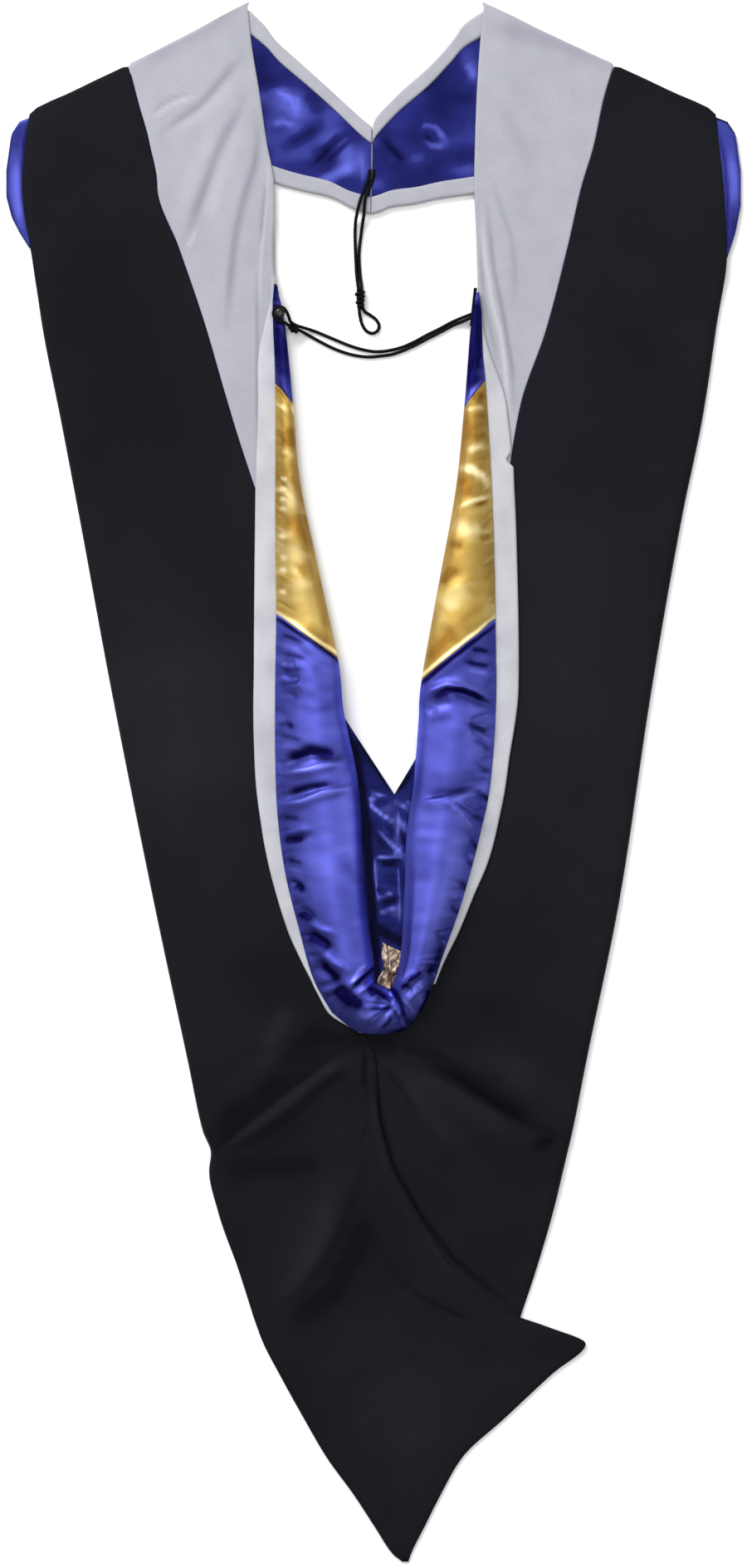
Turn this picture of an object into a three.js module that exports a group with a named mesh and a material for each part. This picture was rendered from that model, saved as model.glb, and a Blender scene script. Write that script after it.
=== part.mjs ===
// Academic hood laid flat with its back up: neckband at the top, turned-out satin rolls down the
// middle, pointed tail at the bottom. Millimetres, +Z up, +Y towards the neck. The origin is the
// middle of the floor rectangle that the hood covers, and the floor is Z = 0.
//
// The hood is one lined tube of cloth pressed flat. From the floor up lie the front layer with the
// neckband and the under layer, then the lining and the black shell of the back, then the velvet edge
// and the satin rolls that are turned out over it. Each ply is a thin closed sheet.
import * as THREE from 'three';

// Overall sizes
const hoodLength = 1067;
const hoodWidth = 503;

// Cloth thicknesses and the air between two plies
const shellThickness = 1.2;
const satinThickness = 1.0;
const velvetThickness = 1.6;
const hemThickness = 1.2;
const plyGap = 0.4;

// Widths and rises
const trimWidth = 76;
const stripWidth = 16;
const stripCrown = 0.4;
const upperHemWidth = 8;
const lowerHemWidth = 12;
const hemUnderlap = 3;
const foldInset = 9;
const shoulderLap = 8;
const rollRise = 20;
const foldRise = 9;
const foldSpread = 12;
const gatherDepth = 2.2;
const gatherCount = 5;
const crumpleRise = 2;
const rollWrap = 9;
const rollTurn = 3.5;
const rollOverSeam = 2;
const liningGapFromRoll = 3;
const smallestWidth = 3;
const foldStep = 3;
const seamGap = 0.4;

// Cords and what is on them
const cordDiameter = 2;
const cordSides = 6;
const buttonDiameter = 7.2;
const buttonDomeHeight = 2.6;
const buttonShankDiameter = 3.2;
const buttonShankHeight = 2.8;
const tabWidth = 3;
const tabLength = 26;
const knotWaist = 0.12;

// Heights of the plies above the floor
const underLiningLevel = velvetThickness + plyGap;
const outerLiningLevel = underLiningLevel + satinThickness + plyGap;
const outerShellLevel = outerLiningLevel + satinThickness + plyGap;
const tailShellLevel = shellThickness + 2 * plyGap;
const stripLevel = outerShellLevel + velvetThickness + plyGap;
const rollSeamLevel = stripLevel + stripCrown + velvetThickness + plyGap;
const rollSeamLevelOnShell = outerShellLevel + shellThickness + plyGap;
const crescentLevel = underLiningLevel + satinThickness + plyGap;
const neckbandLiningLevel = hemThickness + plyGap;
const neckbandHeight = neckbandLiningLevel + satinThickness + plyGap + hemThickness;

// Places are shares: "down" of the length from the top, "out" of the half width from the middle line,
// which is positive to the right.
const halfWidth = hoodWidth / 2;
const across = (out) => out * halfWidth;
const along = (down) => (0.5 - down) * hoodLength;

// Outer folds of the hood, from the neck peaks over the shoulders down to the tip of the tail
const outerFolds = [
  { down: 0.0, left: -0.344, right: 0.301 },
  { down: 0.039, left: -0.667, right: 0.655 },
  { down: 0.055, left: -0.808, right: 0.800 },
  { down: 0.072, left: -0.937, right: 0.932 },
  { down: 0.09, left: -0.947, right: 0.940 },
  { down: 0.115, left: -0.957, right: 0.952 },
  { down: 0.135, left: -0.950, right: 0.958 },
  { down: 0.157, left: -0.934, right: 0.963 },
  { down: 0.211, left: -0.9, right: 0.932 },
  { down: 0.264, left: -0.855, right: 0.898 },
  { down: 0.328, left: -0.803, right: 0.842 },
  { down: 0.44, left: -0.715, right: 0.758 },
  { down: 0.573, left: -0.602, right: 0.672 },
  { down: 0.68, left: -0.505, right: 0.579 },
  { down: 0.723, left: -0.466, right: 0.543 },
  { down: 0.738, left: -0.443, right: 0.528 },
  { down: 0.749, left: -0.448, right: 0.517 },
  { down: 0.776, left: -0.423, right: 0.489 },
  { down: 0.812, left: -0.369, right: 0.444 },
  { down: 0.843, left: -0.327, right: 0.4 },
];

// Tail below the last row above: its left fold and its right edge with the side point
const tailFolds = [
  { down: 0.843, left: -0.327, right: 0.4 },
  { down: 0.849, left: -0.318, right: 0.475 },
  { down: 0.86, left: -0.300, right: 0.579 },
  { down: 0.879, left: -0.258, right: 0.489 },
  { down: 0.908, left: -0.190, right: 0.357 },
  { down: 0.933, left: -0.128, right: 0.242 },
  { down: 0.957, left: -0.054, right: 0.183 },
  { down: 0.979, left: 0.007, right: 0.136 },
  { down: 0.995, left: 0.052, right: 0.102 },
  { down: 1.0, left: 0.079, right: 0.095 },
];

// Face opening: inner edge of the velvet, and below the turn of the lining the seam of the strip
const faceEdges = [
  { down: 0.0, left: -0.344, right: 0.301 },
  { down: 0.026, left: -0.332, right: 0.290 },
  { down: 0.058, left: -0.310, right: 0.281 },
  { down: 0.09, left: -0.29, right: 0.276 },
  { down: 0.115, left: -0.271, right: 0.274 },
  { down: 0.157, left: -0.269, right: 0.281 },
  { down: 0.211, left: -0.267, right: 0.287 },
  { down: 0.264, left: -0.26, right: 0.303 },
  { down: 0.339, left: -0.26, right: 0.321 },
  { down: 0.424, left: -0.26, right: 0.328 },
  { down: 0.461, left: -0.262, right: 0.324 },
  { down: 0.499, left: -0.26, right: 0.310 },
  { down: 0.531, left: -0.251, right: 0.285 },
  { down: 0.552, left: -0.238, right: 0.267 },
  { down: 0.573, left: -0.219, right: 0.238 },
  { down: 0.595, left: -0.195, right: 0.206 },
  { down: 0.616, left: -0.170, right: 0.174 },
  { down: 0.629, left: -0.15, right: 0.156 },
  { down: 0.637, left: -0.133, right: 0.14 },
  { down: 0.648, left: -0.106, right: 0.12 },
  { down: 0.66, left: -0.025, right: 0.03 },
];

// Breadth of the wide velvet beyond the face edge, as a share of trimWidth. Above the first row, where
// its breadth on the left is trimTopBreadth, it reaches the outer folds.
const trimTopBreadth = 1.137;
const trimBreadths = [
  { down: 0.063, left: 1.104, right: 1.141 },
  { down: 0.09, left: 1.056, right: 1.076 },
  { down: 0.119, left: 1.049, right: 0.962 },
  { down: 0.157, left: 0.861, right: 0.817 },
  { down: 0.211, left: 0.612, right: 0.599 },
  { down: 0.257, left: 0.447, right: 0.331 },
  { down: 0.307, left: 0.225, right: 0.16 },
  { down: 0.344, left: 0.036, right: 0.03 },
];

// Breadth of the narrow strip outside the seam, as a share of stripWidth
const stripBreadths = [
  { down: 0.176, left: 0.5, right: 0.5 },
  { down: 0.211, left: 0.76, right: 0.80 },
  { down: 0.264, left: 0.86, right: 0.98 },
  { down: 0.311, left: 0.96, right: 1.08 },
  { down: 0.44, left: 1.03, right: 1.06 },
  { down: 0.488, left: 0.98, right: 0.82 },
  { down: 0.531, left: 0.82, right: 0.78 },
  { down: 0.573, left: 0.69, right: 0.53 },
  { down: 0.595, left: 0.60, right: 0.43 },
  { down: 0.616, left: 0.36, right: 0.25 },
  { down: 0.629, left: 0.24, right: 0.19 },
  { down: 0.648, left: 0.24, right: 0.19 },
  { down: 0.66, left: 0.24, right: 0.19 },
];
const stripSpans = { leftFrom: 0.176, leftTo: 0.66, rightFrom: 0.2, rightTo: 0.629 };

// Inner edges of the black shell under the rolls, then the middle seam, then the lap of the tail
const shellInnerEdges = [
  { down: 0.344, left: -0.271, right: 0.33 },
  { down: 0.392, left: -0.176, right: 0.215 },
  { down: 0.451, left: -0.124, right: 0.158 },
  { down: 0.493, left: -0.079, right: 0.136 },
  { down: 0.552, left: -0.057, right: 0.113 },
  { down: 0.6, left: -0.027, right: 0.1 },
  { down: 0.629, left: -0.032, right: 0.081 },
  { down: 0.64, left: -0.023, right: 0.063 },
  { down: 0.65, left: -0.011, right: 0.006 },
  { down: 0.669, left: -0.009, right: 0.0 },
  { down: 0.712, left: -0.007, right: 0.0 },
  { down: 0.744, left: 0.045, right: 0.0 },
  { down: 0.771, left: 0.113, right: 0.06 },
  { down: 0.808, left: 0.204, right: 0.15 },
  { down: 0.823, left: 0.255, right: 0.2 },
  { down: 0.837, left: 0.34, right: 0.3 },
  { down: 0.843, left: 0.398, right: 0.36 },
];

// Upper edge of the tail's side point, where the left shell runs on past the right one
const sidePointEdge = [
  { down: 0.843, right: 0.398 },
  { down: 0.849, right: 0.475 },
  { down: 0.86, right: 0.579 },
];

// Edge of the under layer: straight from both outer folds to its V, then the middle seam
const underLayerEdges = [
  { down: 0.17, middle: 0.92 },
  { down: 0.509, middle: 0.0 },
];
const underMiddleSeam = [
  { down: 0.17, out: 0.057 },
  { down: 0.509, out: 0.057 },
  { down: 0.6, out: 0.045 },
  { down: 0.712, out: 0.0 },
  { down: 0.851, out: 0.045 },
  { down: 0.989, out: 0.084 },
];
const underTailRight = [
  { down: 0.8, out: 0.43 },
  { down: 0.837, out: 0.366 },
  { down: 0.872, out: 0.39 },
  { down: 0.904, out: 0.31 },
  { down: 0.931, out: 0.2 },
  { down: 0.957, out: 0.147 },
  { down: 0.979, out: 0.11 },
  { down: 0.989, out: 0.1 },
];

// Front layer under the shoulders, from the rounded outer end to the neckband
const frontLayer = [
  { out: 1.0, top: 0.107, bottomLeft: 0.124, bottomRight: 0.130 },
  { out: 0.986, top: 0.084, bottomLeft: 0.137, bottomRight: 0.147 },
  { out: 0.964, top: 0.076, bottomLeft: 0.147, bottomRight: 0.163 },
  { out: 0.937, top: 0.0735, bottomLeft: 0.157, bottomRight: 0.163 },
  { out: 0.88, top: 0.071, bottomLeft: 0.152, bottomRight: 0.156 },
  { out: 0.808, top: 0.063, bottomLeft: 0.146, bottomRight: 0.149 },
  { out: 0.667, top: 0.046, bottomLeft: 0.133, bottomRight: 0.134 },
  { out: 0.5, top: 0.029, bottomLeft: 0.124, bottomRight: 0.125 },
  { out: 0.4, top: 0.019, bottomLeft: 0.119, bottomRight: 0.122 },
];
const frontLayerEnds = {
  left: { out: 0.36, outLow: 0.297, top: 0.011, bottomLeft: 0.116 },
  right: { out: 0.32, outLow: 0.294, top: 0.012, bottomRight: 0.12 },
};

// Neckband: its upper and lower edge from under the trim to the middle seam
const neckbandLeft = [
  { upperDown: 0.003, upperOut: -0.348, lowerDown: 0.114, lowerOut: -0.285 },
  { upperDown: 0.013, upperOut: -0.301, lowerDown: 0.118, lowerOut: -0.235 },
  { upperDown: 0.024, upperOut: -0.265, lowerDown: 0.121, lowerOut: -0.185 },
  { upperDown: 0.040, upperOut: -0.19, lowerDown: 0.125, lowerOut: -0.113 },
  { upperDown: 0.056, upperOut: -0.115, lowerDown: 0.131, lowerOut: -0.062 },
  { upperDown: 0.072, upperOut: -0.041, lowerDown: 0.134, lowerOut: -0.03 },
  { upperDown: 0.079, upperOut: -0.0045, lowerDown: 0.1355, lowerOut: -0.0085 },
];
const neckbandRight = [
  { upperDown: 0.004, upperOut: 0.307, lowerDown: 0.122, lowerOut: 0.283 },
  { upperDown: 0.013, upperOut: 0.249, lowerDown: 0.124, lowerOut: 0.226 },
  { upperDown: 0.024, upperOut: 0.215, lowerDown: 0.126, lowerOut: 0.17 },
  { upperDown: 0.040, upperOut: 0.154, lowerDown: 0.129, lowerOut: 0.113 },
  { upperDown: 0.056, upperOut: 0.077, lowerDown: 0.131, lowerOut: 0.05 },
  { upperDown: 0.072, upperOut: 0.011, lowerDown: 0.134, lowerOut: 0.018 },
  { upperDown: 0.079, upperOut: -0.0025, lowerDown: 0.1355, lowerOut: -0.0065 },
];

// Rolls of turned-out lining: the seam on the strip, the inner edge of the roll and the rise of its
// crest as a share of rollRise. The chevron runs between the two rows marked with its ends.
const leftRoll = [
  { seamDown: 0.181, seamOut: -0.268, edgeDown: 0.182, edgeOut: -0.253, rise: 0.03 },
  { seamDown: 0.211, seamOut: -0.265, edgeDown: 0.213, edgeOut: -0.238, rise: 0.12 },
  { seamDown: 0.246, seamOut: -0.262, edgeDown: 0.257, edgeOut: -0.219, rise: 0.25, chevron: 'top' },
  { seamDown: 0.296, seamOut: -0.26, edgeDown: 0.305, edgeOut: -0.201, rise: 0.4 },
  { seamDown: 0.344, seamOut: -0.26, edgeDown: 0.359, edgeOut: -0.154, rise: 0.55 },
  { seamDown: 0.393, seamOut: -0.258, edgeDown: 0.421, edgeOut: -0.097, rise: 0.72, chevron: 'bottom' },
  { seamDown: 0.44, seamOut: -0.26, edgeDown: 0.455, edgeOut: -0.081, rise: 0.85 },
  { seamDown: 0.488, seamOut: -0.259, edgeDown: 0.491, edgeOut: -0.048, rise: 0.95 },
  { seamDown: 0.523, seamOut: -0.252, edgeDown: 0.521, edgeOut: -0.03, rise: 1.0 },
  { seamDown: 0.559, seamOut: -0.231, edgeDown: 0.557, edgeOut: -0.02, rise: 1.0 },
  { seamDown: 0.595, seamOut: -0.193, edgeDown: 0.594, edgeOut: 0.0, rise: 0.95 },
  { seamDown: 0.625, seamOut: -0.156, edgeDown: 0.614, edgeOut: 0.011, rise: 0.85 },
  { seamDown: 0.644, seamOut: -0.113, edgeDown: 0.626, edgeOut: 0.002, rise: 0.72 },
];
const rightRoll = [
  { seamDown: 0.207, seamOut: 0.285, edgeDown: 0.208, edgeOut: 0.262, rise: 0.1 },
  { seamDown: 0.225, seamOut: 0.29, edgeDown: 0.23, edgeOut: 0.257, rise: 0.16 },
  { seamDown: 0.244, seamOut: 0.299, edgeDown: 0.26, edgeOut: 0.247, rise: 0.25, chevron: 'top' },
  { seamDown: 0.296, seamOut: 0.311, edgeDown: 0.312, edgeOut: 0.224, rise: 0.42 },
  { seamDown: 0.345, seamOut: 0.32, edgeDown: 0.37, edgeOut: 0.18, rise: 0.6 },
  { seamDown: 0.396, seamOut: 0.325, edgeDown: 0.434, edgeOut: 0.131, rise: 0.75, chevron: 'bottom' },
  { seamDown: 0.45, seamOut: 0.325, edgeDown: 0.463, edgeOut: 0.122, rise: 0.9 },
  { seamDown: 0.499, seamOut: 0.31, edgeDown: 0.501, edgeOut: 0.109, rise: 1.0 },
  { seamDown: 0.531, seamOut: 0.284, edgeDown: 0.533, edgeOut: 0.091, rise: 1.0 },
  { seamDown: 0.575, seamOut: 0.234, edgeDown: 0.577, edgeOut: 0.079, rise: 0.95 },
  { seamDown: 0.61, seamOut: 0.182, edgeDown: 0.61, edgeOut: 0.068, rise: 0.85 },
  { seamDown: 0.629, seamOut: 0.155, edgeDown: 0.622, edgeOut: 0.059, rise: 0.75 },
];
const rollSteps = { upper: 4, chevron: 8, lower: 14, gathered: 16 };

// Section of a roll: its back rises from the seam over its width, and its front falls to the leg below
const rollBack = [
  { across: 0.12, rise: 0.45 },
  { across: 0.32, rise: 0.85 },
  { across: 0.55, rise: 1 },
  { across: 0.78, rise: 0.88 },
];
const rollFront = [
  { back: 1.1, rise: 0.74 },
  { back: 0, rise: 0.42 },
  { back: 0.2, rise: 0.12 },
];
const rollTurnShare = 0.45;
const rollWrapShare = 0.75;

// Gathered bottom, row by row round the U from the left roll's end to the right roll's end
const gatherRows = [
  { seamDown: 0.6455, seamOut: -0.108, edgeDown: 0.628, edgeOut: 0.004, rise: 0.72, lap: 1 },
  { seamDown: 0.6595, seamOut: -0.03, edgeDown: 0.632, edgeOut: 0.017, rise: 0.65, lap: 0.8 },
  { seamDown: 0.6615, seamOut: 0.034, edgeDown: 0.635, edgeOut: 0.032, rise: 0.62, lap: 0 },
  { seamDown: 0.6585, seamOut: 0.091, edgeDown: 0.632, edgeOut: 0.045, rise: 0.62, lap: 0 },
  { seamDown: 0.646, seamOut: 0.127, edgeDown: 0.628, edgeOut: 0.054, rise: 0.66, lap: 0.3 },
  { seamDown: 0.6315, seamOut: 0.151, edgeDown: 0.6245, edgeOut: 0.0585, rise: 0.75, lap: 1 },
];

// Crumpled satin that shows at the bottom of the V
const innerChevron = [
  { down: 0.600, from: 0.018, to: 0.060 },
  { down: 0.607, from: 0.023, to: 0.062 },
  { down: 0.614, from: 0.027, to: 0.056 },
  { down: 0.621, from: 0.026, to: 0.051 },
  { down: 0.626, from: 0.024, to: 0.051 },
];

// Folds in the black shells: a ridge from one point to the next, with its rise as a share of foldRise
const shellFolds = [
  { fromDown: 0.672, fromOut: -0.025, toDown: 0.707, toOut: -0.249, rise: 0.8 },
  { fromDown: 0.707, fromOut: -0.249, toDown: 0.735, toOut: -0.41, rise: 1.0 },
  { fromDown: 0.672, fromOut: 0.06, toDown: 0.696, toOut: 0.249, rise: 0.7 },
  { fromDown: 0.696, fromOut: 0.249, toDown: 0.723, toOut: 0.42, rise: 0.5 },
  { fromDown: 0.744, fromOut: -0.03, toDown: 0.787, toOut: -0.057, rise: 0.35 },
  { fromDown: 0.787, fromOut: -0.057, toDown: 0.819, toOut: -0.113, rise: 0.5 },
  { fromDown: 0.819, fromOut: -0.113, toDown: 0.845, toOut: -0.25, rise: 0.45 },
  { fromDown: 0.904, fromOut: -0.02, toDown: 0.978, toOut: 0.04, rise: 0.25 },
];

// Rows shared by every ply below the wide velvet's top, so that plies that meet have the same corners
const rowBands = [
  { to: 0.072, steps: 3 },
  { from: 0.072, to: 0.157, steps: 4 },
  { from: 0.157, to: 0.172, steps: 1 },
  { from: 0.172, to: 0.344, steps: 5 },
  { from: 0.344, to: 0.52, steps: 4 },
  { from: 0.52, to: 0.66, steps: 8 },
  { from: 0.66, to: 0.843, steps: 13 },
  { from: 0.843, to: 0.86, steps: 2 },
  { from: 0.86, to: 1.0, steps: 6 },
];

// Materials
const finishes = {
  black: { color: 0x1c1d21, roughness: 0.85 },
  blue: { color: 0x4b46be, roughness: 0.35 },
  navy: { color: 0x1c1a5a, roughness: 0.4 },
  gold: { color: 0xcda546, roughness: 0.35 },
  tan: { color: 0xc8aa78, roughness: 0.4 },
  velvet: { color: 0xc1c2c8, roughness: 0.9 },
  cord: { color: 0x0a0a0c, roughness: 0.6 },
  button: { color: 0x101012, roughness: 0.25 },
};

const hood = new THREE.Group();

/** Adds one named piece with a material of its own. */
function addPiece(name, geometry, finish, parent) {
  const look = finishes[finish];
  const material = new THREE.MeshStandardMaterial({ color: look.color, roughness: look.roughness, metalness: 0 });
  const mesh = new THREE.Mesh(geometry, material);
  mesh.name = name;
  parent.add(mesh);
  return mesh;
}

/** Clamps a number between 0 and 1 and eases it at both ends. */
function ease(value) {
  const share = Math.min(1, Math.max(0, value));
  return share * share * (3 - 2 * share);
}

/** Reads a column of a table at a place, straight from row to row. */
function straightThrough(rows, key, column) {
  return (place) => {
    let last = 1;
    while (last < rows.length - 1 && rows[last][key] < place) last += 1;
    const from = rows[last - 1];
    const to = rows[last];
    const share = Math.min(1, Math.max(0, (place - from[key]) / (to[key] - from[key])));
    return from[column] + (to[column] - from[column]) * share;
  };
}

/** Adds its number to a row of a table. */
const numbered = (row, number) => ({ ...row, number });

/** Reads a column of a table at a row number, on a smooth curve through the rows. */
function smoothAt(rows, column, place) {
  const row = Math.min(rows.length - 2, Math.max(0, Math.floor(place)));
  const share = place - row;
  const value = (number) => rows[Math.min(rows.length - 1, Math.max(0, number))][column];
  const slopeFrom = (value(row + 1) - value(row - 1)) / 2;
  const slopeTo = (value(row + 2) - value(row)) / 2;
  const squared = share * share;
  const cubed = squared * share;
  return (2 * cubed - 3 * squared + 1) * value(row) + (cubed - 2 * squared + share) * slopeFrom
    + (3 * squared - 2 * cubed) * value(row + 1) + (cubed - squared) * slopeTo;
}

/** Shared rows between two places down the hood, with both ends. */
function rowsBetween(from, to) {
  const shared = [];
  const topBand = { from: 0, to: velvetTop, steps: 4 };
  const nextBand = { ...rowBands[0], from: velvetTop };
  for (const band of [topBand, nextBand, ...rowBands.slice(1)]) {
    for (let step = 0; step < band.steps; step += 1) {
      shared.push(band.from + ((band.to - band.from) * step) / band.steps);
    }
  }
  shared.push(1);
  const nearest = 0.002;
  return [from, ...shared.filter((down) => down > from + nearest && down < to - nearest), to];
}

/** Every second shared row, for plies that lie flat between others. */
function sparseRows(from, to) {
  const rows = rowsBetween(from, to);
  return rows.filter((_, index) => index % 2 === 0 || index === rows.length - 1);
}

/** Closed sheet between an upper and a lower grid of points with the same rows and columns. */
function closedSheet(upper, lower) {
  const rowCount = upper.length;
  const columnCount = upper[0].length;
  const positions = [...upper, ...lower].flat(2);
  const indices = [];
  const at = (layer, row, column) => (layer * rowCount + row) * columnCount + column;
  const quad = (a, b, c, d) => indices.push(a, b, c, a, c, d);
  const lastRow = rowCount - 1;
  const lastColumn = columnCount - 1;
  for (let row = 0; row < lastRow; row += 1) {
    for (let column = 0; column < lastColumn; column += 1) {
      quad(at(0, row, column), at(0, row + 1, column), at(0, row + 1, column + 1), at(0, row, column + 1));
      quad(at(1, row, column), at(1, row, column + 1), at(1, row + 1, column + 1), at(1, row + 1, column));
    }
    quad(at(0, row, 0), at(1, row, 0), at(1, row + 1, 0), at(0, row + 1, 0));
    quad(at(0, row + 1, lastColumn), at(1, row + 1, lastColumn), at(1, row, lastColumn), at(0, row, lastColumn));
  }
  for (let column = 0; column < lastColumn; column += 1) {
    quad(at(0, 0, column + 1), at(1, 0, column + 1), at(1, 0, column), at(0, 0, column));
    quad(at(0, lastRow, column), at(1, lastRow, column), at(1, lastRow, column + 1), at(0, lastRow, column + 1));
  }
  const corner = (index) => new THREE.Vector3().fromArray(positions, indices[index] * 3);
  let volume = 0;
  for (let index = 0; index < indices.length; index += 3) {
    volume += corner(index).dot(corner(index + 1).cross(corner(index + 2)));
  }
  if (volume < 0) indices.reverse();
  const geometry = new THREE.BufferGeometry();
  geometry.setAttribute('position', new THREE.Float32BufferAttribute(positions, 3));
  geometry.setIndex(indices);
  geometry.computeVertexNormals();
  return geometry;
}

/** Flat-lying ply: rows across the hood between two edges, with its underside from a function. */
function flatPly({ rows, from, to, shares, underside, thickness }) {
  const upper = [];
  const lower = [];
  for (const down of rows) {
    const middle = (from(down) + to(down)) / 2;
    const half = Math.max(to(down) - from(down), smallestWidth) / 2;
    const columns = shares(2 * half);
    const points = columns.map((share, column) => {
      const x = middle - half + 2 * half * share;
      return [x, along(down), underside(x, down, column)];
    });
    lower.push(points);
    upper.push(points.map(([x, y, z]) => [x, y, z + thickness]));
  }
  return closedSheet(upper, lower);
}

/** Column shares with narrow columns at folded edges, as many as named for each side, and even ones between. */
function foldedColumns(count, narrowAtStart, narrowAtEnd) {
  return (width) => {
    const step = Math.min(foldStep / width, 0.8 / count);
    const start = narrowAtStart * step;
    const even = count - narrowAtStart - narrowAtEnd;
    return Array.from({ length: count + 1 }, (_, column) => {
      if (column <= narrowAtStart) return column * step;
      if (column >= count - narrowAtEnd) return 1 - (count - column) * step;
      return start + ((1 - start - narrowAtEnd * step) * (column - narrowAtStart)) / even;
    });
  };
}

/** Even column shares. */
function evenColumns(count) {
  return () => Array.from({ length: count + 1 }, (_, index) => index / count);
}

/** Height of the folds in the black shell at a point. */
function foldHeight(x, down) {
  const point = new THREE.Vector2(x, along(down));
  let height = 0;
  const belowGather = ease((down - 0.667) / 0.02);
  for (const fold of shellFolds) {
    const from = new THREE.Vector2(across(fold.fromOut), along(fold.fromDown));
    const run = new THREE.Vector2(across(fold.toOut), along(fold.toDown)).sub(from);
    const share = Math.min(1, Math.max(0, point.clone().sub(from).dot(run) / run.lengthSq()));
    const distance = point.distanceTo(from.addScaledVector(run, share));
    height = Math.max(height, foldRise * fold.rise * Math.exp(-((distance / foldSpread) ** 2)));
  }
  return height * belowGather;
}

const tailStart = tailFolds[0].down;
const foldLeft = (down) => across(straightThrough(down < tailStart ? outerFolds : tailFolds, 'down', 'left')(down));
const foldRight = (down) => across(straightThrough(down < tailStart ? outerFolds : tailFolds, 'down', 'right')(down));
const faceLeft = (down) => across(straightThrough(faceEdges, 'down', 'left')(down));
const faceRight = (down) => across(straightThrough(faceEdges, 'down', 'right')(down));
const stripBreadthLeft = (down) => stripWidth * straightThrough(stripBreadths, 'down', 'left')(down);
const stripBreadthRight = (down) => stripWidth * straightThrough(stripBreadths, 'down', 'right')(down);
const velvetTop = findVelvetTop();
const topBreadths = {
  down: velvetTop,
  left: (faceLeft(velvetTop) - foldLeft(velvetTop)) / trimWidth,
  right: (foldRight(velvetTop) - faceRight(velvetTop)) / trimWidth,
};
const allBreadths = [topBreadths, ...trimBreadths];
const trimBreadthLeft = (down) => trimWidth * straightThrough(allBreadths, 'down', 'left')(down);
const trimBreadthRight = (down) => trimWidth * straightThrough(allBreadths, 'down', 'right')(down);
const shellTopBelowVelvetTop = 0.0022;
const shellTop = velvetTop + shellTopBelowVelvetTop;
const velvetEnd = trimBreadths.at(-1).down;
const sidePoint = sidePointEdge.at(-1).down;
const crescentStart = 0.055;
const crescentEnd = 0.172;
const lapFrom = 0.68;
const lapEnd = tailStart + 0.03;

/** Place where the wide velvet's outer edge leaves the left fold: halved until it is found. */
function findVelvetTop() {
  let above = 0;
  let below = trimBreadths[0].down;
  for (let halving = 0; halving < 20; halving += 1) {
    const middle = (above + below) / 2;
    if (faceLeft(middle) - foldLeft(middle) < trimTopBreadth * trimWidth) above = middle;
    else below = middle;
  }
  return below;
}

/** Boundary between velvet and black cloth on the left, then the shell's inner edge below it. */
function shellInnerLeft(down) {
  if (down <= velvetEnd) return faceLeft(down) - trimBreadthLeft(down);
  if (down <= tailStart) return across(straightThrough(shellInnerEdges, 'down', 'left')(down));
  if (down <= sidePoint) return across(straightThrough(sidePointEdge, 'down', 'right')(down));
  return foldRight(down);
}

/** The same boundary on the right, down to where the left shell laps over it. */
function shellInnerRight(down) {
  if (down <= velvetEnd) return faceRight(down) + trimBreadthRight(down);
  return across(straightThrough(shellInnerEdges, 'down', 'right')(down));
}

/** Underside of the black shell before folds: flat, lower in the tail, where no lining lies in it. */
function shellLevel(down) {
  const sinkFrom = 0.74;
  const sinkOver = 0.1;
  return outerShellLevel - (outerShellLevel - tailShellLevel) * ease((down - sinkFrom) / sinkOver);
}

/** Floor that a shell's outer fold comes down to: the front layer's satin beside the crescents. */
function foldFloor(down) {
  const startOver = 0.017;
  const endOver = 0.02;
  return crescentLevel * ease((down - crescentStart) / startOver) * ease((crescentEnd + endOver - down) / endOver);
}

const foldDrop = [1, 0.3, 0];

/** Drop of a column near a folded edge, counted from that edge. */
function dropOf(column) {
  return foldDrop[Math.min(column, foldDrop.length - 1)];
}

/** Lift of the left shell where it laps over the right one. */
function lapLift(x, down) {
  if (down < lapFrom || down > lapEnd) return 0;
  const reach = 34;
  const eased = 14;
  const easedDown = 0.02;
  const inner = shellInnerRight(Math.min(down, tailStart));
  const past = (x - inner + reach) / eased;
  const lapped = ease((down - lapFrom) / easedDown) * ease((lapEnd - down) / easedDown);
  return (shellThickness + 2 * plyGap) * ease(past) * lapped;
}

/** Black shells of the back, with their outer folds brought down to the floor. */
function makeOuterShells(parent) {
  const leftColumns = 9;
  const left = flatPly({
    rows: rowsBetween(shellTop, 1),
    from: foldLeft,
    to: (down) => shellInnerLeft(down) - (down <= velvetEnd ? seamGap : 0),
    shares: foldedColumns(leftColumns, 2, 1),
    thickness: shellThickness,
    underside: (x, down, column) => {
      const level = shellLevel(down) + foldHeight(x, down) * (1 - dropOf(column)) + lapLift(x, down);
      const tailDrop = down > sidePoint - 0.001 ? dropOf(leftColumns - column) : 0;
      return level - (level - foldFloor(down)) * Math.max(dropOf(column), tailDrop);
    },
  });
  addPiece('outer_shell_left', left, 'black', parent);
  const rightColumns = 8;
  const right = flatPly({
    rows: rowsBetween(shellTop, tailStart),
    from: (down) => shellInnerRight(down) + seamGap,
    to: foldRight,
    shares: foldedColumns(rightColumns, 0, 2),
    thickness: shellThickness,
    underside: (x, down, column) => {
      const fromFold = rightColumns - column;
      const clearOfLap = down > lapFrom + 0.02 ? ease((x - shellInnerLeft(down)) / foldSpread) : 1;
      const level = shellLevel(down) + foldHeight(x, down) * (1 - dropOf(fromFold)) * clearOfLap;
      return level - (level - foldFloor(down)) * dropOf(fromFold);
    },
  });
  addPiece('outer_shell_right', right, 'black', parent);
}

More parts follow.
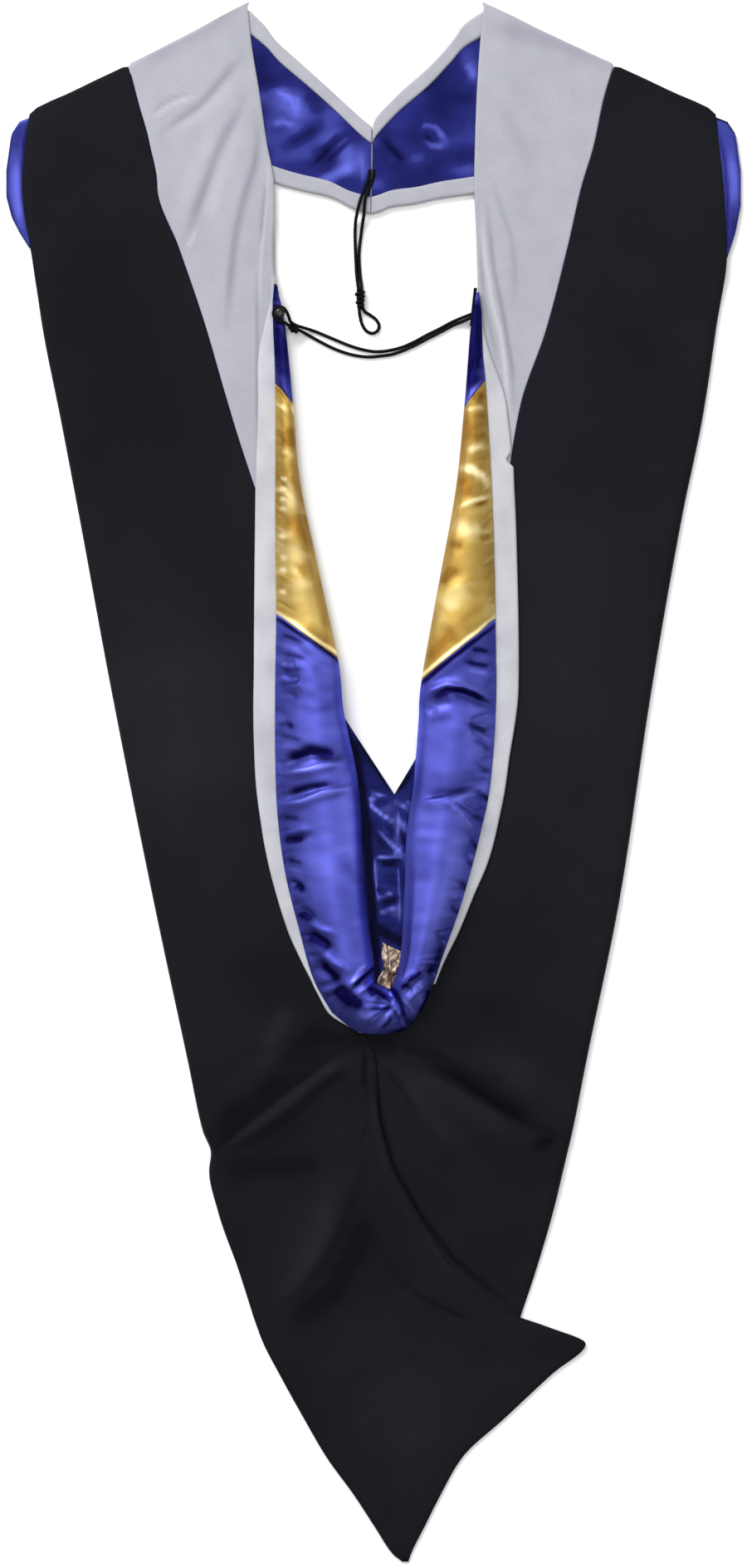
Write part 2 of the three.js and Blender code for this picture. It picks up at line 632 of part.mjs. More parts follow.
/** Wide velvet trims, folded over the shoulders above and turned down at the face edge. */
function makeVelvetTrims(parent) {
  const columns = 6;
  const rows = rowsBetween(0, velvetEnd);
  const lipFrom = 0.14;
  const lipEnd = 0.176;
  const lip = (down) => ease((down - lipFrom) / 0.015) * ease((lipEnd - down) / 0.01);
  const shoulderDrop = (down) => ease((down - 0.008) / 0.01) * ease((0.045 - down) / 0.012);
  const underside = (fromFold, fromFace, down) => {
    const folded = outerShellLevel * (1 - dropOf(fromFold) * shoulderDrop(down));
    return folded - (outerShellLevel - shellThickness) * lip(down) * (fromFace === 0 ? 1 : 0);
  };
  const left = flatPly({
    rows,
    from: (down) => (down <= velvetTop ? foldLeft(down) : shellInnerLeft(down)),
    to: faceLeft,
    shares: foldedColumns(columns, 2, 1),
    thickness: velvetThickness,
    underside: (x, down, column) => underside(column, columns - column, down),
  });
  addPiece('velvet_trim_left', left, 'velvet', parent);
  const right = flatPly({
    rows,
    from: faceRight,
    to: (down) => (down <= velvetTop ? foldRight(down) : shellInnerRight(down)),
    shares: foldedColumns(columns, 1, 2),
    thickness: velvetThickness,
    underside: (x, down, column) => underside(columns - column, column, down),
  });
  addPiece('velvet_trim_right', right, 'velvet', parent);
}

/** Narrow velvet strips of the turned-out edge, slightly crowned. */
function makeEdgeStrips(parent) {
  const columns = 3;
  const underside = (x, down, column) => stripLevel + (column > 0 && column < columns ? stripCrown : 0);
  const left = flatPly({
    rows: rowsBetween(stripSpans.leftFrom, stripSpans.leftTo),
    from: (down) => faceLeft(down) - stripBreadthLeft(down),
    to: faceLeft,
    shares: evenColumns(columns),
    thickness: velvetThickness,
    underside,
  });
  addPiece('edge_strip_left', left, 'velvet', parent);
  const right = flatPly({
    rows: rowsBetween(stripSpans.rightFrom, stripSpans.rightTo),
    from: faceRight,
    to: (down) => faceRight(down) + stripBreadthRight(down),
    shares: evenColumns(columns),
    thickness: velvetThickness,
    underside,
  });
  addPiece('edge_strip_right', right, 'velvet', parent);
}

/** Satin under the black back, which ends beside the lower leg of the rolls. */
function makeOuterLinings(parent) {
  const start = 0.085;
  const end = 0.6;
  const rollFrom = 0.24;
  const rollOver = 0.06;
  const rollEdge = (roll, down) => across(straightThrough(roll, 'edgeDown', 'edgeOut')(down));
  const setBack = rollWrap + liningGapFromRoll;
  const leftEdge = (down) => {
    const byFace = faceLeft(down) - shoulderLap;
    return byFace + (rollEdge(leftRoll, down) - setBack - byFace) * ease((down - rollFrom) / rollOver);
  };
  const rightEdge = (down) => {
    const byFace = faceRight(down) + shoulderLap;
    return byFace + (rollEdge(rightRoll, down) + setBack - byFace) * ease((down - rollFrom) / rollOver);
  };
  const shared = { rows: sparseRows(start, end), shares: evenColumns(2), thickness: satinThickness };
  const underside = () => outerLiningLevel;
  const left = flatPly({ ...shared, from: (down) => foldLeft(down) + foldInset, to: leftEdge, underside });
  addPiece('outer_lining_left', left, 'navy', parent);
  const right = flatPly({ ...shared, from: rightEdge, to: (down) => foldRight(down) - foldInset, underside });
  addPiece('outer_lining_right', right, 'navy', parent);
}

/** Black cloth and satin of the under layer, with its V between the rolls. */
function makeUnderLayer(parent) {
  const seam = straightThrough(underMiddleSeam, 'down', 'out');
  const spread = straightThrough(underLayerEdges, 'down', 'middle');
  const tailRight = straightThrough(underTailRight, 'down', 'out');
  const start = 0.185;
  const tailFrom = underTailRight[0].down;
  const reachLeft = 1.02;
  const reachRight = 0.935;
  const liningInset = 0.004;
  const seamLeft = (down) => across(seam(down) - spread(down) * reachLeft) - seamGap / 2;
  const seamRight = (down) => across(seam(down) + spread(down) * reachRight) + seamGap / 2;
  const edgeLeft = (down) => foldLeft(down) + foldInset;
  const edgeRight = (down) => {
    const byFold = foldRight(down) - foldInset;
    return down > tailFrom ? Math.min(byFold, across(tailRight(down))) : byFold;
  };
  const shell = { name: 'under_shell', level: 0, thickness: shellThickness, finish: 'black' };
  const lining = { name: 'under_lining', level: underLiningLevel, thickness: satinThickness, finish: 'navy' };
  const plies = [
    { ...shell, end: 0.972, inset: 0 },
    { ...lining, end: 0.712, inset: 1 },
  ];
  for (const ply of plies) {
    const shared = {
      rows: sparseRows(start + ply.inset * liningInset, ply.end),
      shares: evenColumns(2),
      thickness: ply.thickness,
      underside: () => ply.level,
    };
    const left = flatPly({ ...shared, from: edgeLeft, to: (down) => seamLeft(down) - ply.inset });
    addPiece(`${ply.name}_left`, left, ply.finish, parent);
    const right = flatPly({ ...shared, from: (down) => seamRight(down) + ply.inset, to: edgeRight });
    addPiece(`${ply.name}_right`, right, ply.finish, parent);
  }
}

/** Front layer under the shoulders: velvet and black cloth outside, satin inside. */
function makeFrontLayer(parent) {
  const sides = [
    { side: 'left', sign: -1, bottom: 'bottomLeft' },
    { side: 'right', sign: 1, bottom: 'bottomRight' },
  ];
  const plies = [
    { name: 'front_shell', first: 0, last: 6, level: 0, thickness: shellThickness, finish: 'black' },
    { name: 'front_velvet', first: 6, last: 9, level: 0, thickness: velvetThickness, finish: 'velvet' },
    { name: 'front_lining', first: 0, last: 9, level: underLiningLevel, thickness: satinThickness, finish: 'blue' },
  ];
  const crossRows = 2;
  for (const { side, sign, bottom } of sides) {
    for (const ply of plies) {
      const columns = [...frontLayer, frontLayerEnds[side]].slice(ply.first, ply.last + 1);
      const grid = (level) => columns.map((column, number) => {
        const shift = number === 0 && ply.first > 0 ? seamGap : 0;
        return Array.from({ length: crossRows + 1 }, (_, row) => {
          const down = column.top + ((column[bottom] - column.top) * row) / crossRows;
          const out = column.out + (((column.outLow ?? column.out) - column.out) * row) / crossRows;
          return [sign * (across(out) - shift), along(down), level];
        });
      });
      const geometry = closedSheet(grid(ply.level + ply.thickness), grid(ply.level));
      addPiece(`${ply.name}_${side}`, geometry, ply.finish, parent);
    }
  }
}

/** Moves a path of [distance, height] points sideways by a distance, to the left of its run. */
function offsetPath(path, distance) {
  return path.map((point, index) => {
    const before = path[Math.max(0, index - 1)];
    const after = path[Math.min(path.length - 1, index + 1)];
    const run = new THREE.Vector2(after[0] - before[0], after[1] - before[1]).normalize();
    return [point[0] - run.y * distance, point[1] + run.x * distance];
  });
}

/** Neckband halves: velvet with both edges hemmed over, and the satin held in the hems. */
function makeNeckband(parent) {
  const bend = neckbandHeight / 2;
  const rising = [-0.5, -0.25, 0, 0.25, 0.5].map((turn) => turn * Math.PI);
  const falling = [...rising].reverse();
  const hemArc = (centre, side, angles) => angles.map((angle) => [
    centre + side * bend * Math.cos(angle),
    bend + bend * Math.sin(angle),
  ]);
  const velvetPath = (width) => [
    [upperHemWidth, neckbandHeight],
    ...hemArc(bend, -1, falling),
    [width / 2, 0],
    ...hemArc(width - bend, 1, rising),
    [width - lowerHemWidth, neckbandHeight],
  ];
  for (const [side, band] of [['left', neckbandLeft], ['right', neckbandRight]]) {
    const outer = [];
    const inner = [];
    const satinLow = [];
    const satinHigh = [];
    band.forEach(({ upperDown, upperOut, lowerDown, lowerOut }, row) => {
      const atSeam = row === band.length - 1 ? 1 : 0;
      const shift = atSeam * (side === 'left' ? -seamGap / 2 : seamGap / 2);
      const top = new THREE.Vector2(across(upperOut) + shift, along(upperDown));
      const run = new THREE.Vector2(across(lowerOut) + shift, along(lowerDown)).sub(top);
      const width = run.length();
      run.normalize();
      const lay = ([distance, height]) => [top.x + run.x * distance, top.y + run.y * distance, height];
      const path = velvetPath(width);
      outer.push(path.map(lay));
      inner.push(offsetPath(path, hemThickness).map(lay));
      const satinFrom = upperHemWidth - hemUnderlap;
      const satinTo = width - lowerHemWidth + hemUnderlap;
      const satin = evenColumns(3)().map((share) => satinFrom + (satinTo - satinFrom) * share);
      satinLow.push(satin.map((distance) => lay([distance, neckbandLiningLevel])));
      satinHigh.push(satin.map((distance) => lay([distance, neckbandLiningLevel + satinThickness])));
    });
    addPiece(`neckband_velvet_${side}`, closedSheet(outer, inner), 'velvet', parent);
    addPiece(`neckband_lining_${side}`, closedSheet(satinHigh, satinLow), 'blue', parent);
  }
}

/** Section of a roll, from its seam over the crest and round the inner edge to the leg below. */
function rollSection(width, rise, seamLevel) {
  const start = seamLevel + satinThickness;
  const low = outerLiningLevel;
  const fall = start + rise - low;
  const turn = Math.min(rollTurn, rollTurnShare * width);
  const wrap = Math.min(rollWrap, rollWrapShare * width);
  return [
    [-rollOverSeam, start],
    ...rollBack.map((point) => [point.across * width, start + point.rise * rise]),
    ...rollFront.map((point) => [width - point.back * turn, low + point.rise * fall]),
    [width - turn, low],
    [width - wrap, low],
  ];
}

/** Roll of turned-out lining between two row numbers of its table. */
function makeRoll(name, table, fromRow, toRow, steps, finish, parent, ripple = () => 0) {
  const outer = [];
  const inner = [];
  for (let step = 0; step <= steps; step += 1) {
    const place = fromRow + ((toRow - fromRow) * step) / steps;
    const read = (column) => smoothAt(table, column, place);
    const seam = new THREE.Vector2(across(read('seamOut')), along(read('seamDown')));
    const run = new THREE.Vector2(across(read('edgeOut')), along(read('edgeDown'))).sub(seam);
    const width = run.length();
    run.normalize();
    const lap = table[0].lap === undefined ? 1 : Math.min(1, Math.max(0, read('lap')));
    const seamLevel = rollSeamLevelOnShell + (rollSeamLevel - rollSeamLevelOnShell) * lap;
    const rise = rollRise * read('rise') + ripple(step / steps);
    const section = rollSection(width, rise, seamLevel);
    const lay = ([distance, height]) => [seam.x + run.x * distance, seam.y + run.y * distance, height];
    outer.push(section.map(lay));
    inner.push(offsetPath(section, -satinThickness).map(lay));
  }
  addPiece(name, closedSheet(outer, inner), finish, parent);
}

/** Row numbers that leave a seam's gap between two pieces of one roll. */
function rowGap(table, row) {
  const from = table[Math.max(0, row - 1)];
  const to = table[Math.min(table.length - 1, row + 1)];
  const rowCount = Math.min(table.length - 1, row + 1) - Math.max(0, row - 1);
  return (seamGap * rowCount) / ((to.seamDown - from.seamDown) * hoodLength);
}

/** All pieces of the turned-out lining. */
function makeTurnedLining(parent) {
  for (const [side, table] of [['left', leftRoll], ['right', rightRoll]]) {
    const last = table.length - 1;
    const chevronFrom = table.findIndex((row) => row.chevron === 'top');
    const chevronTo = table.findIndex((row) => row.chevron === 'bottom');
    const upperGap = rowGap(table, chevronFrom);
    const lowerGap = rowGap(table, chevronTo);
    makeRoll(`upper_lining_${side}`, table, 0, chevronFrom - upperGap, rollSteps.upper, 'blue', parent);
    makeRoll(`chevron_${side}`, table, chevronFrom, chevronTo, rollSteps.chevron, 'gold', parent);
    makeRoll(`lower_lining_${side}`, table, chevronTo + lowerGap, last, rollSteps.lower, 'blue', parent);
  }
  const ripple = (share) => gatherDepth * Math.cos(2 * Math.PI * gatherCount * share) * Math.sin(Math.PI * share);
  makeRoll('gathered_lining', gatherRows, 0, gatherRows.length - 1, rollSteps.gathered, 'blue', parent, ripple);
}

/** Crumpled satin of the chevron inside the under layer, at the bottom of the V. */
function makeInnerChevron(parent) {
  const geometry = flatPly({
    rows: innerChevron.map((row) => row.down),
    from: (down) => across(straightThrough(innerChevron, 'down', 'from')(down)),
    to: (down) => across(straightThrough(innerChevron, 'down', 'to')(down)),
    shares: evenColumns(4),
    thickness: satinThickness,
    underside: (x, down, column) => outerLiningLevel + (column % 2 === 1 ? crumpleRise : 0),
  });
  addPiece('inner_chevron', geometry, 'tan', parent);
}

// Routes of the cords, point by point in millimetres
const loopLeftRoute = [
  [-2.2, 419.6, 5.7], [-3.3, 412.8, 5.6], [-6.2, 406, 5.6], [-8.6, 399.7, 5.6], [-10.4, 393.5, 5.6],
  [-11.5, 388.2, 4.9], [-12.2, 384.6, 2.9], [-12.9, 375.8, 1.4], [-12.4, 362.2, 1.2],
  [-11.3, 348.5, 1.2], [-10.6, 340.6, 2.6],
];
const loopRightRoute = [
  [0.4, 419.3, 5.7], [-0.7, 412.2, 5.6], [-3.4, 405.4, 5.6], [-5.7, 399.2, 5.6], [-6.3, 393.5, 5.6],
  [-6.6, 388.2, 4.9], [-6.9, 384.6, 2.9], [-7.6, 375.8, 1.4], [-8.8, 362.2, 1.2],
  [-8.5, 348.5, 1.2], [-7.9, 340.6, 2.6],
];
const loopEyeRoute = [
  [-9.6, 321.6, 2.6], [-8.7, 317.6, 1.2], [-7.2, 313.4, 1.1], [-4.6, 309.6, 1.1], [-0.9, 307.9, 1.1],
  [2.2, 309.8, 1.1], [2.6, 313.6, 1.1], [0.4, 317.4, 1.1], [-2.9, 320.4, 1.2], [-6.2, 322.8, 2.6],
];
const crossUpperRoute = [
  [67.4, 320.6, 5.6], [62.6, 318.9, 3.6], [54.1, 315.6, 1.1], [45.5, 311, 1.1], [36.4, 306.5, 1.1],
  [28.5, 302.2, 1.1], [20.5, 298.6, 1.1], [12.5, 296.4, 1.1], [5.7, 295.4, 1.1], [-0.6, 295.4, 1.1],
  [-8.5, 296.9, 1.1], [-16.5, 299.4, 1.1], [-25.6, 303.1, 1.1], [-33, 306.2, 1.1], [-41, 309.4, 1.5],
  [-50, 311.9, 4.4],
];
const crossLowerRoute = [
  [67.4, 318.2, 5.6], [62.6, 316.4, 3.6], [54.1, 313, 1.1], [45.5, 308.4, 1.1], [36.4, 303.8, 1.1],
  [28.5, 299.6, 1.1], [20.5, 296, 1.1], [12.5, 293.3, 1.1], [4.6, 292.2, 1.1], [-2.8, 291.6, 1.1],
  [-9.7, 292.2, 1.1], [-16.5, 293.6, 1.1], [-23.9, 296, 1.1], [-30.7, 299, 1.1], [-37.6, 302.6, 1.1],
  [-44.4, 306.3, 1.5], [-50.1, 309.2, 4.4],
];
const crossEyeRoute = [
  [-56.6, 314.8, 10.4], [-58.2, 317.4, 12.8], [-59.8, 320.4, 14], [-61.6, 323, 14], [-64.4, 324.1, 14],
  [-66.8, 322.6, 14], [-67.5, 319.8, 14], [-66, 317, 14], [-63, 315.4, 13.9], [-60.3, 314.2, 12.8],
  [-58.3, 312.8, 10.4],
];

// Knots on the cords: centre and size in millimetres, turned about the upright in radians
const loopKnot = { centre: [-9, 331.2, 3.1], size: [6.6, 17.2, 6], turn: 0 };
const crossKnot = { centre: [-54.4, 310.8, 6.4], size: [7, 7.4, 7], turn: 0.9 };

/** Tube of cord along a route. */
function makeCord(name, route, steps, parent) {
  const radius = cordDiameter / 2;
  const section = new THREE.Shape(Array.from({ length: cordSides }, (_, side) => {
    const angle = (2 * Math.PI * side) / cordSides;
    return new THREE.Vector2(radius * Math.cos(angle), radius * Math.sin(angle));
  }));
  const curve = new THREE.CatmullRomCurve3(route.map((point) => new THREE.Vector3(...point)), false, 'centripetal');
  const geometry = new THREE.ExtrudeGeometry(section, { steps, extrudePath: curve, bevelEnabled: false });
  addPiece(name, geometry, 'cord', parent);
}

/** Knot as a lumpy rounded body round a centre. */
function makeKnot(name, centre, size, turn, parent) {
  const geometry = new THREE.SphereGeometry(0.5, 12, 8);
  const position = geometry.getAttribute('position');
  const point = new THREE.Vector3();
  for (let index = 0; index < position.count; index += 1) {
    point.fromBufferAttribute(position, index);
    const pinch = 1 - knotWaist * Math.cos(4 * Math.PI * point.y);
    position.setXYZ(index, point.x * size[0] * pinch, point.y * size[1], point.z * size[2] * pinch);
  }
  const mesh = addPiece(name, geometry, 'cord', parent);
  mesh.position.set(...centre);
  mesh.rotation.z = turn;
}

/** Both doubled cords with their knots. */
function makeCords(parent) {
  makeCord('loop_cord_left', loopLeftRoute, 13, parent);
  makeCord('loop_cord_right', loopRightRoute, 13, parent);
  makeCord('loop_cord_eye', loopEyeRoute, 10, parent);
  makeCord('cross_cord_upper', crossUpperRoute, 18, parent);
  makeCord('cross_cord_lower', crossLowerRoute, 18, parent);
  makeCord('cross_cord_eye', crossEyeRoute, 10, parent);
  makeKnot('loop_cord_knot', loopKnot.centre, loopKnot.size, loopKnot.turn, parent);
  makeKnot('cross_cord_knot', crossKnot.centre, crossKnot.size, crossKnot.turn, parent);
}

/** Small round button on its shank, on the left roll. */
function makeButton(parent) {
  const place = { down: 0.2, out: -0.2545 };
  const rowThere = straightThrough(leftRoll.map(numbered), 'seamDown', 'number')(place.down);
  const rollThere = smoothAt(leftRoll, 'rise', rowThere);
  const base = rollSeamLevel + satinThickness + rollRise * rollThere + plyGap;
  const shank = buttonShankDiameter / 2;
  const dome = buttonDiameter / 2;
  const top = buttonShankHeight + buttonDomeHeight;
  const shoulder = { radius: 0.72 * dome, height: buttonShankHeight + 0.8 * buttonDomeHeight };
  const rim = buttonShankHeight + 0.3 * buttonDomeHeight;
  const profile = [
    [0, 0], [shank, 0], [shank, buttonShankHeight], [dome, buttonShankHeight], [dome, rim],
    [shoulder.radius, shoulder.height], [0, top],
  ].map(([radius, height]) => new THREE.Vector2(radius, height));
  const button = addPiece('cord_button', new THREE.LatheGeometry(profile, 16), 'button', parent);
  button.rotation.x = Math.PI / 2;
  button.position.set(across(place.out), along(place.down), base);
}

/** Narrow tab against the right face edge, which holds the cross cord. */
function makeTab(parent) {
  const tabDown = 0.195;
  const halfTab = tabLength / 2 / hoodLength;
  const beside = Math.min(faceRight(tabDown - halfTab), faceRight(tabDown + halfTab));
  const tab = addPiece('cord_tab', new THREE.BoxGeometry(tabWidth, tabLength, velvetThickness), 'cord', parent);
  tab.position.set(beside - tabWidth / 2 - seamGap, along(tabDown), outerShellLevel + velvetThickness / 2);
}

const backGroup = new THREE.Group();
const frontGroup = new THREE.Group();
const turnedGroup = new THREE.Group();
const cordGroup = new THREE.Group();
hood.add(backGroup, frontGroup, turnedGroup, cordGroup);
makeOuterShells(backGroup);
makeOuterLinings(backGroup);
makeVelvetTrims(backGroup);
makeFrontLayer(frontGroup);
makeNeckband(frontGroup);
makeUnderLayer(frontGroup);
makeInnerChevron(frontGroup);
makeEdgeStrips(turnedGroup);
makeTurnedLining(turnedGroup);
makeCords(cordGroup);
makeButton(cordGroup);
makeTab(cordGroup);

export default hood;
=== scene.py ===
"""Looks of an academic hood that lies flat with its back up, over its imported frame.

Metres, +Z up, +Y towards the neck. The floor is Z = 0 and the origin is the middle of the floor
rectangle that the hood covers. Every piece is cloth made as a closed thin sheet from a grid of points,
or a cord made as a tube along its route.
"""
import sys
import logging
import math
from dataclasses import dataclass, field, replace
from enum import Enum
from typing import Callable, Mapping, NamedTuple

import bpy
import numpy as np
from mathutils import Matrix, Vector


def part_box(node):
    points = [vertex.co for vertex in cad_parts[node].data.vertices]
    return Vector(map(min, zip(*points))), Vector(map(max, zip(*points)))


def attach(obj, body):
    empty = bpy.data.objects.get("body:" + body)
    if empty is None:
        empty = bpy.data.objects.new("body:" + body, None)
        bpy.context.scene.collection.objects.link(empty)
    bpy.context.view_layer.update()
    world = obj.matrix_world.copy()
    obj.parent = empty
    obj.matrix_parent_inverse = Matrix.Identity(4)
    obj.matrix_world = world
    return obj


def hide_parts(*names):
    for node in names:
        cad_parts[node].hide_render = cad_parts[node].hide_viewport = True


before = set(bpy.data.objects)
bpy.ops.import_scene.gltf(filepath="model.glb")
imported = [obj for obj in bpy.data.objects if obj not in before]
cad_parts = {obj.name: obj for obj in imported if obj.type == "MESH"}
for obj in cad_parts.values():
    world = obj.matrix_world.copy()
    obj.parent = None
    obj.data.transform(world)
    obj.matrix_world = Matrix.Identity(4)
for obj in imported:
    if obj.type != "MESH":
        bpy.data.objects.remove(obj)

LOG = logging.getLogger("hood")
PHOTO_SCALE = 0.000569
PHOTO_MIDDLE = (450.0, 942.5)
PHOTO_HEIGHT = 1888
# Scale at which the wave texture has one wave in each unit of its place
ONE_WAVE = 0.314

Color = tuple[float, float, float]
Edge = Callable[[np.ndarray], np.ndarray]
Socket = bpy.types.NodeSocket
Fill = Callable[["NodeTree", Mapping[str, Socket]], dict[str, Socket]]


class Side(Enum):
    """Side of the hood as seen from above."""

    LEFT = "left"
    RIGHT = "right"

    @property
    def sign(self) -> int:
        """Sign of X on this side."""
        return -1 if self is Side.LEFT else 1


class Hold(Enum):
    """How a sheet of cloth is held."""

    LAID = "laid"
    FOLDED = "folded"
    GATHERED = "gathered"


class EdgeRow(NamedTuple):
    """Both edges of a ply at one place down the hood, as shares of the half width or of a width."""

    down: float
    left: float
    right: float


class RightRow(NamedTuple):
    """Right edge of a ply at one place down the hood, as a share of the half width."""

    down: float
    right: float


class RollRow(NamedTuple):
    """Seam and inner edge of a roll, with the rise of its crest as a share of the full rise.

    Places are shares of the length and of the half width. The lap is 1 where the seam lies on the strip
    and 0 where it lies on the black back.
    """

    seam_down: float
    seam_out: float
    edge_down: float
    edge_out: float
    rise: float
    lap: float = 1.0


class FrontColumn(NamedTuple):
    """Upper and lower ends of the front layer at one place out from the middle."""

    out: float
    top: float
    bottom_left: float
    bottom_right: float


class BandRow(NamedTuple):
    """Upper and lower edge of the neckband at one place along it."""

    upper_down: float
    upper_out: float
    lower_down: float
    lower_out: float


class Crease(NamedTuple):
    """Ridge in cloth along a path, or a valley where its rise is negative.

    The path holds pixel places of the photo. Rise and widths are in millimetres. "above" is the width
    to the left of the path's run, which is its upper side where the path runs to the right, and "below"
    the width on its other side, where it differs. In a table of painted shading the rise is painted
    light instead, from -1 for painted shade to 1 for painted highlight.
    """

    path: tuple[tuple[float, float], ...]
    rise: float
    above: float
    below: float | None = None


OUTER_FOLDS = (
    EdgeRow(0.0, -0.344, 0.301),
    EdgeRow(0.039, -0.667, 0.655),
    EdgeRow(0.055, -0.808, 0.800),
    EdgeRow(0.072, -0.937, 0.932),
    EdgeRow(0.09, -0.947, 0.940),
    EdgeRow(0.115, -0.957, 0.952),
    EdgeRow(0.135, -0.950, 0.958),
    EdgeRow(0.157, -0.934, 0.963),
    EdgeRow(0.211, -0.9, 0.932),
    EdgeRow(0.264, -0.855, 0.898),
    EdgeRow(0.328, -0.803, 0.842),
    EdgeRow(0.44, -0.715, 0.758),
    EdgeRow(0.573, -0.602, 0.672),
    EdgeRow(0.68, -0.505, 0.579),
    EdgeRow(0.723, -0.466, 0.543),
    EdgeRow(0.738, -0.443, 0.528),
    EdgeRow(0.749, -0.448, 0.517),
    EdgeRow(0.776, -0.423, 0.489),
    EdgeRow(0.812, -0.369, 0.444),
    EdgeRow(0.843, -0.327, 0.4),
)
TAIL_FOLDS = (
    EdgeRow(0.843, -0.327, 0.4),
    EdgeRow(0.849, -0.318, 0.475),
    EdgeRow(0.86, -0.300, 0.579),
    EdgeRow(0.879, -0.258, 0.489),
    EdgeRow(0.908, -0.190, 0.357),
    EdgeRow(0.933, -0.128, 0.242),
    EdgeRow(0.957, -0.054, 0.183),
    EdgeRow(0.979, 0.007, 0.136),
    EdgeRow(0.995, 0.052, 0.102),
    EdgeRow(1.0, 0.079, 0.095),
)
FACE_EDGES = (
    EdgeRow(0.0, -0.344, 0.301),
    EdgeRow(0.026, -0.332, 0.290),
    EdgeRow(0.058, -0.310, 0.281),
    EdgeRow(0.09, -0.29, 0.276),
    EdgeRow(0.115, -0.271, 0.274),
    EdgeRow(0.157, -0.269, 0.281),
    EdgeRow(0.211, -0.267, 0.287),
    EdgeRow(0.264, -0.26, 0.303),
    EdgeRow(0.339, -0.26, 0.321),
    EdgeRow(0.424, -0.26, 0.328),
    EdgeRow(0.461, -0.262, 0.324),
    EdgeRow(0.499, -0.26, 0.310),
    EdgeRow(0.531, -0.251, 0.285),
    EdgeRow(0.552, -0.238, 0.267),
    EdgeRow(0.573, -0.219, 0.238),
    EdgeRow(0.595, -0.195, 0.206),
    EdgeRow(0.616, -0.170, 0.174),
    EdgeRow(0.629, -0.15, 0.156),
    EdgeRow(0.637, -0.133, 0.14),
    EdgeRow(0.648, -0.106, 0.12),
    EdgeRow(0.66, -0.025, 0.03),
)
TRIM_BREADTHS = (
    EdgeRow(0.039, 1.137, 1.223),
    EdgeRow(0.063, 1.104, 1.141),
    EdgeRow(0.09, 1.056, 1.076),
    EdgeRow(0.119, 1.049, 0.962),
    EdgeRow(0.157, 0.861, 0.817),
    EdgeRow(0.211, 0.612, 0.599),
    EdgeRow(0.257, 0.447, 0.331),
    EdgeRow(0.307, 0.225, 0.16),
    EdgeRow(0.344, 0.036, 0.03),
)
STRIP_BREADTHS = (
    EdgeRow(0.176, 0.5, 0.5),
    EdgeRow(0.211, 0.76, 0.80),
    EdgeRow(0.264, 0.86, 0.98),
    EdgeRow(0.287, 0.91, 1.04),
    EdgeRow(0.2935, 0.925, 0.80),
    EdgeRow(0.298, 0.933, 1.08),
    EdgeRow(0.311, 0.96, 1.06),
    EdgeRow(0.44, 1.03, 1.06),
    EdgeRow(0.488, 0.98, 0.82),
    EdgeRow(0.531, 0.82, 0.78),
    EdgeRow(0.573, 0.69, 0.53),
    EdgeRow(0.595, 0.60, 0.43),
    EdgeRow(0.616, 0.36, 0.25),
    EdgeRow(0.629, 0.24, 0.19),
    EdgeRow(0.648, 0.24, 0.19),
    EdgeRow(0.66, 0.24, 0.19),
)
SHELL_INNER_EDGES = (
    EdgeRow(0.344, -0.271, 0.33),
    EdgeRow(0.392, -0.176, 0.215),
    EdgeRow(0.451, -0.124, 0.158),
    EdgeRow(0.493, -0.079, 0.136),
    EdgeRow(0.552, -0.057, 0.113),
    EdgeRow(0.6, -0.027, 0.1),
    EdgeRow(0.629, -0.032, 0.081),
    EdgeRow(0.64, -0.026, 0.063),
    EdgeRow(0.652, -0.02, -0.012),
    EdgeRow(0.664, -0.016, -0.018),
    EdgeRow(0.674, 0.004, -0.014),
    EdgeRow(0.712, 0.016, -0.006),
    EdgeRow(0.744, 0.052, 0.0),
    EdgeRow(0.771, 0.113, 0.06),
    EdgeRow(0.808, 0.204, 0.15),
    EdgeRow(0.823, 0.255, 0.2),
    EdgeRow(0.837, 0.34, 0.3),
    EdgeRow(0.843, 0.398, 0.36),
)
UNDER_SEAM = (
    EdgeRow(0.17, -0.881, 0.917),
    EdgeRow(0.509, 0.057, 0.057),
    EdgeRow(0.6, 0.045, 0.045),
    EdgeRow(0.712, 0.0, 0.0),
    EdgeRow(0.851, 0.045, 0.045),
    EdgeRow(0.989, 0.084, 0.084),
)
UNDER_TAIL = (
    RightRow(0.8, 0.43),
    RightRow(0.837, 0.366),
    RightRow(0.872, 0.39),
    RightRow(0.904, 0.31),
    RightRow(0.931, 0.2),
    RightRow(0.957, 0.147),
    RightRow(0.989, 0.1),
)
FRONT_COLUMNS = (
    FrontColumn(1.0, 0.107, 0.124, 0.130),
    FrontColumn(0.986, 0.084, 0.137, 0.147),
    FrontColumn(0.964, 0.076, 0.147, 0.163),
    FrontColumn(0.937, 0.0735, 0.157, 0.163),
    FrontColumn(0.88, 0.071, 0.152, 0.156),
    FrontColumn(0.808, 0.063, 0.146, 0.149),
    FrontColumn(0.667, 0.046, 0.133, 0.134),
    FrontColumn(0.5, 0.029, 0.124, 0.125),
    FrontColumn(0.4, 0.019, 0.119, 0.122),
    FrontColumn(0.335, 0.0115, 0.116, 0.12),
)
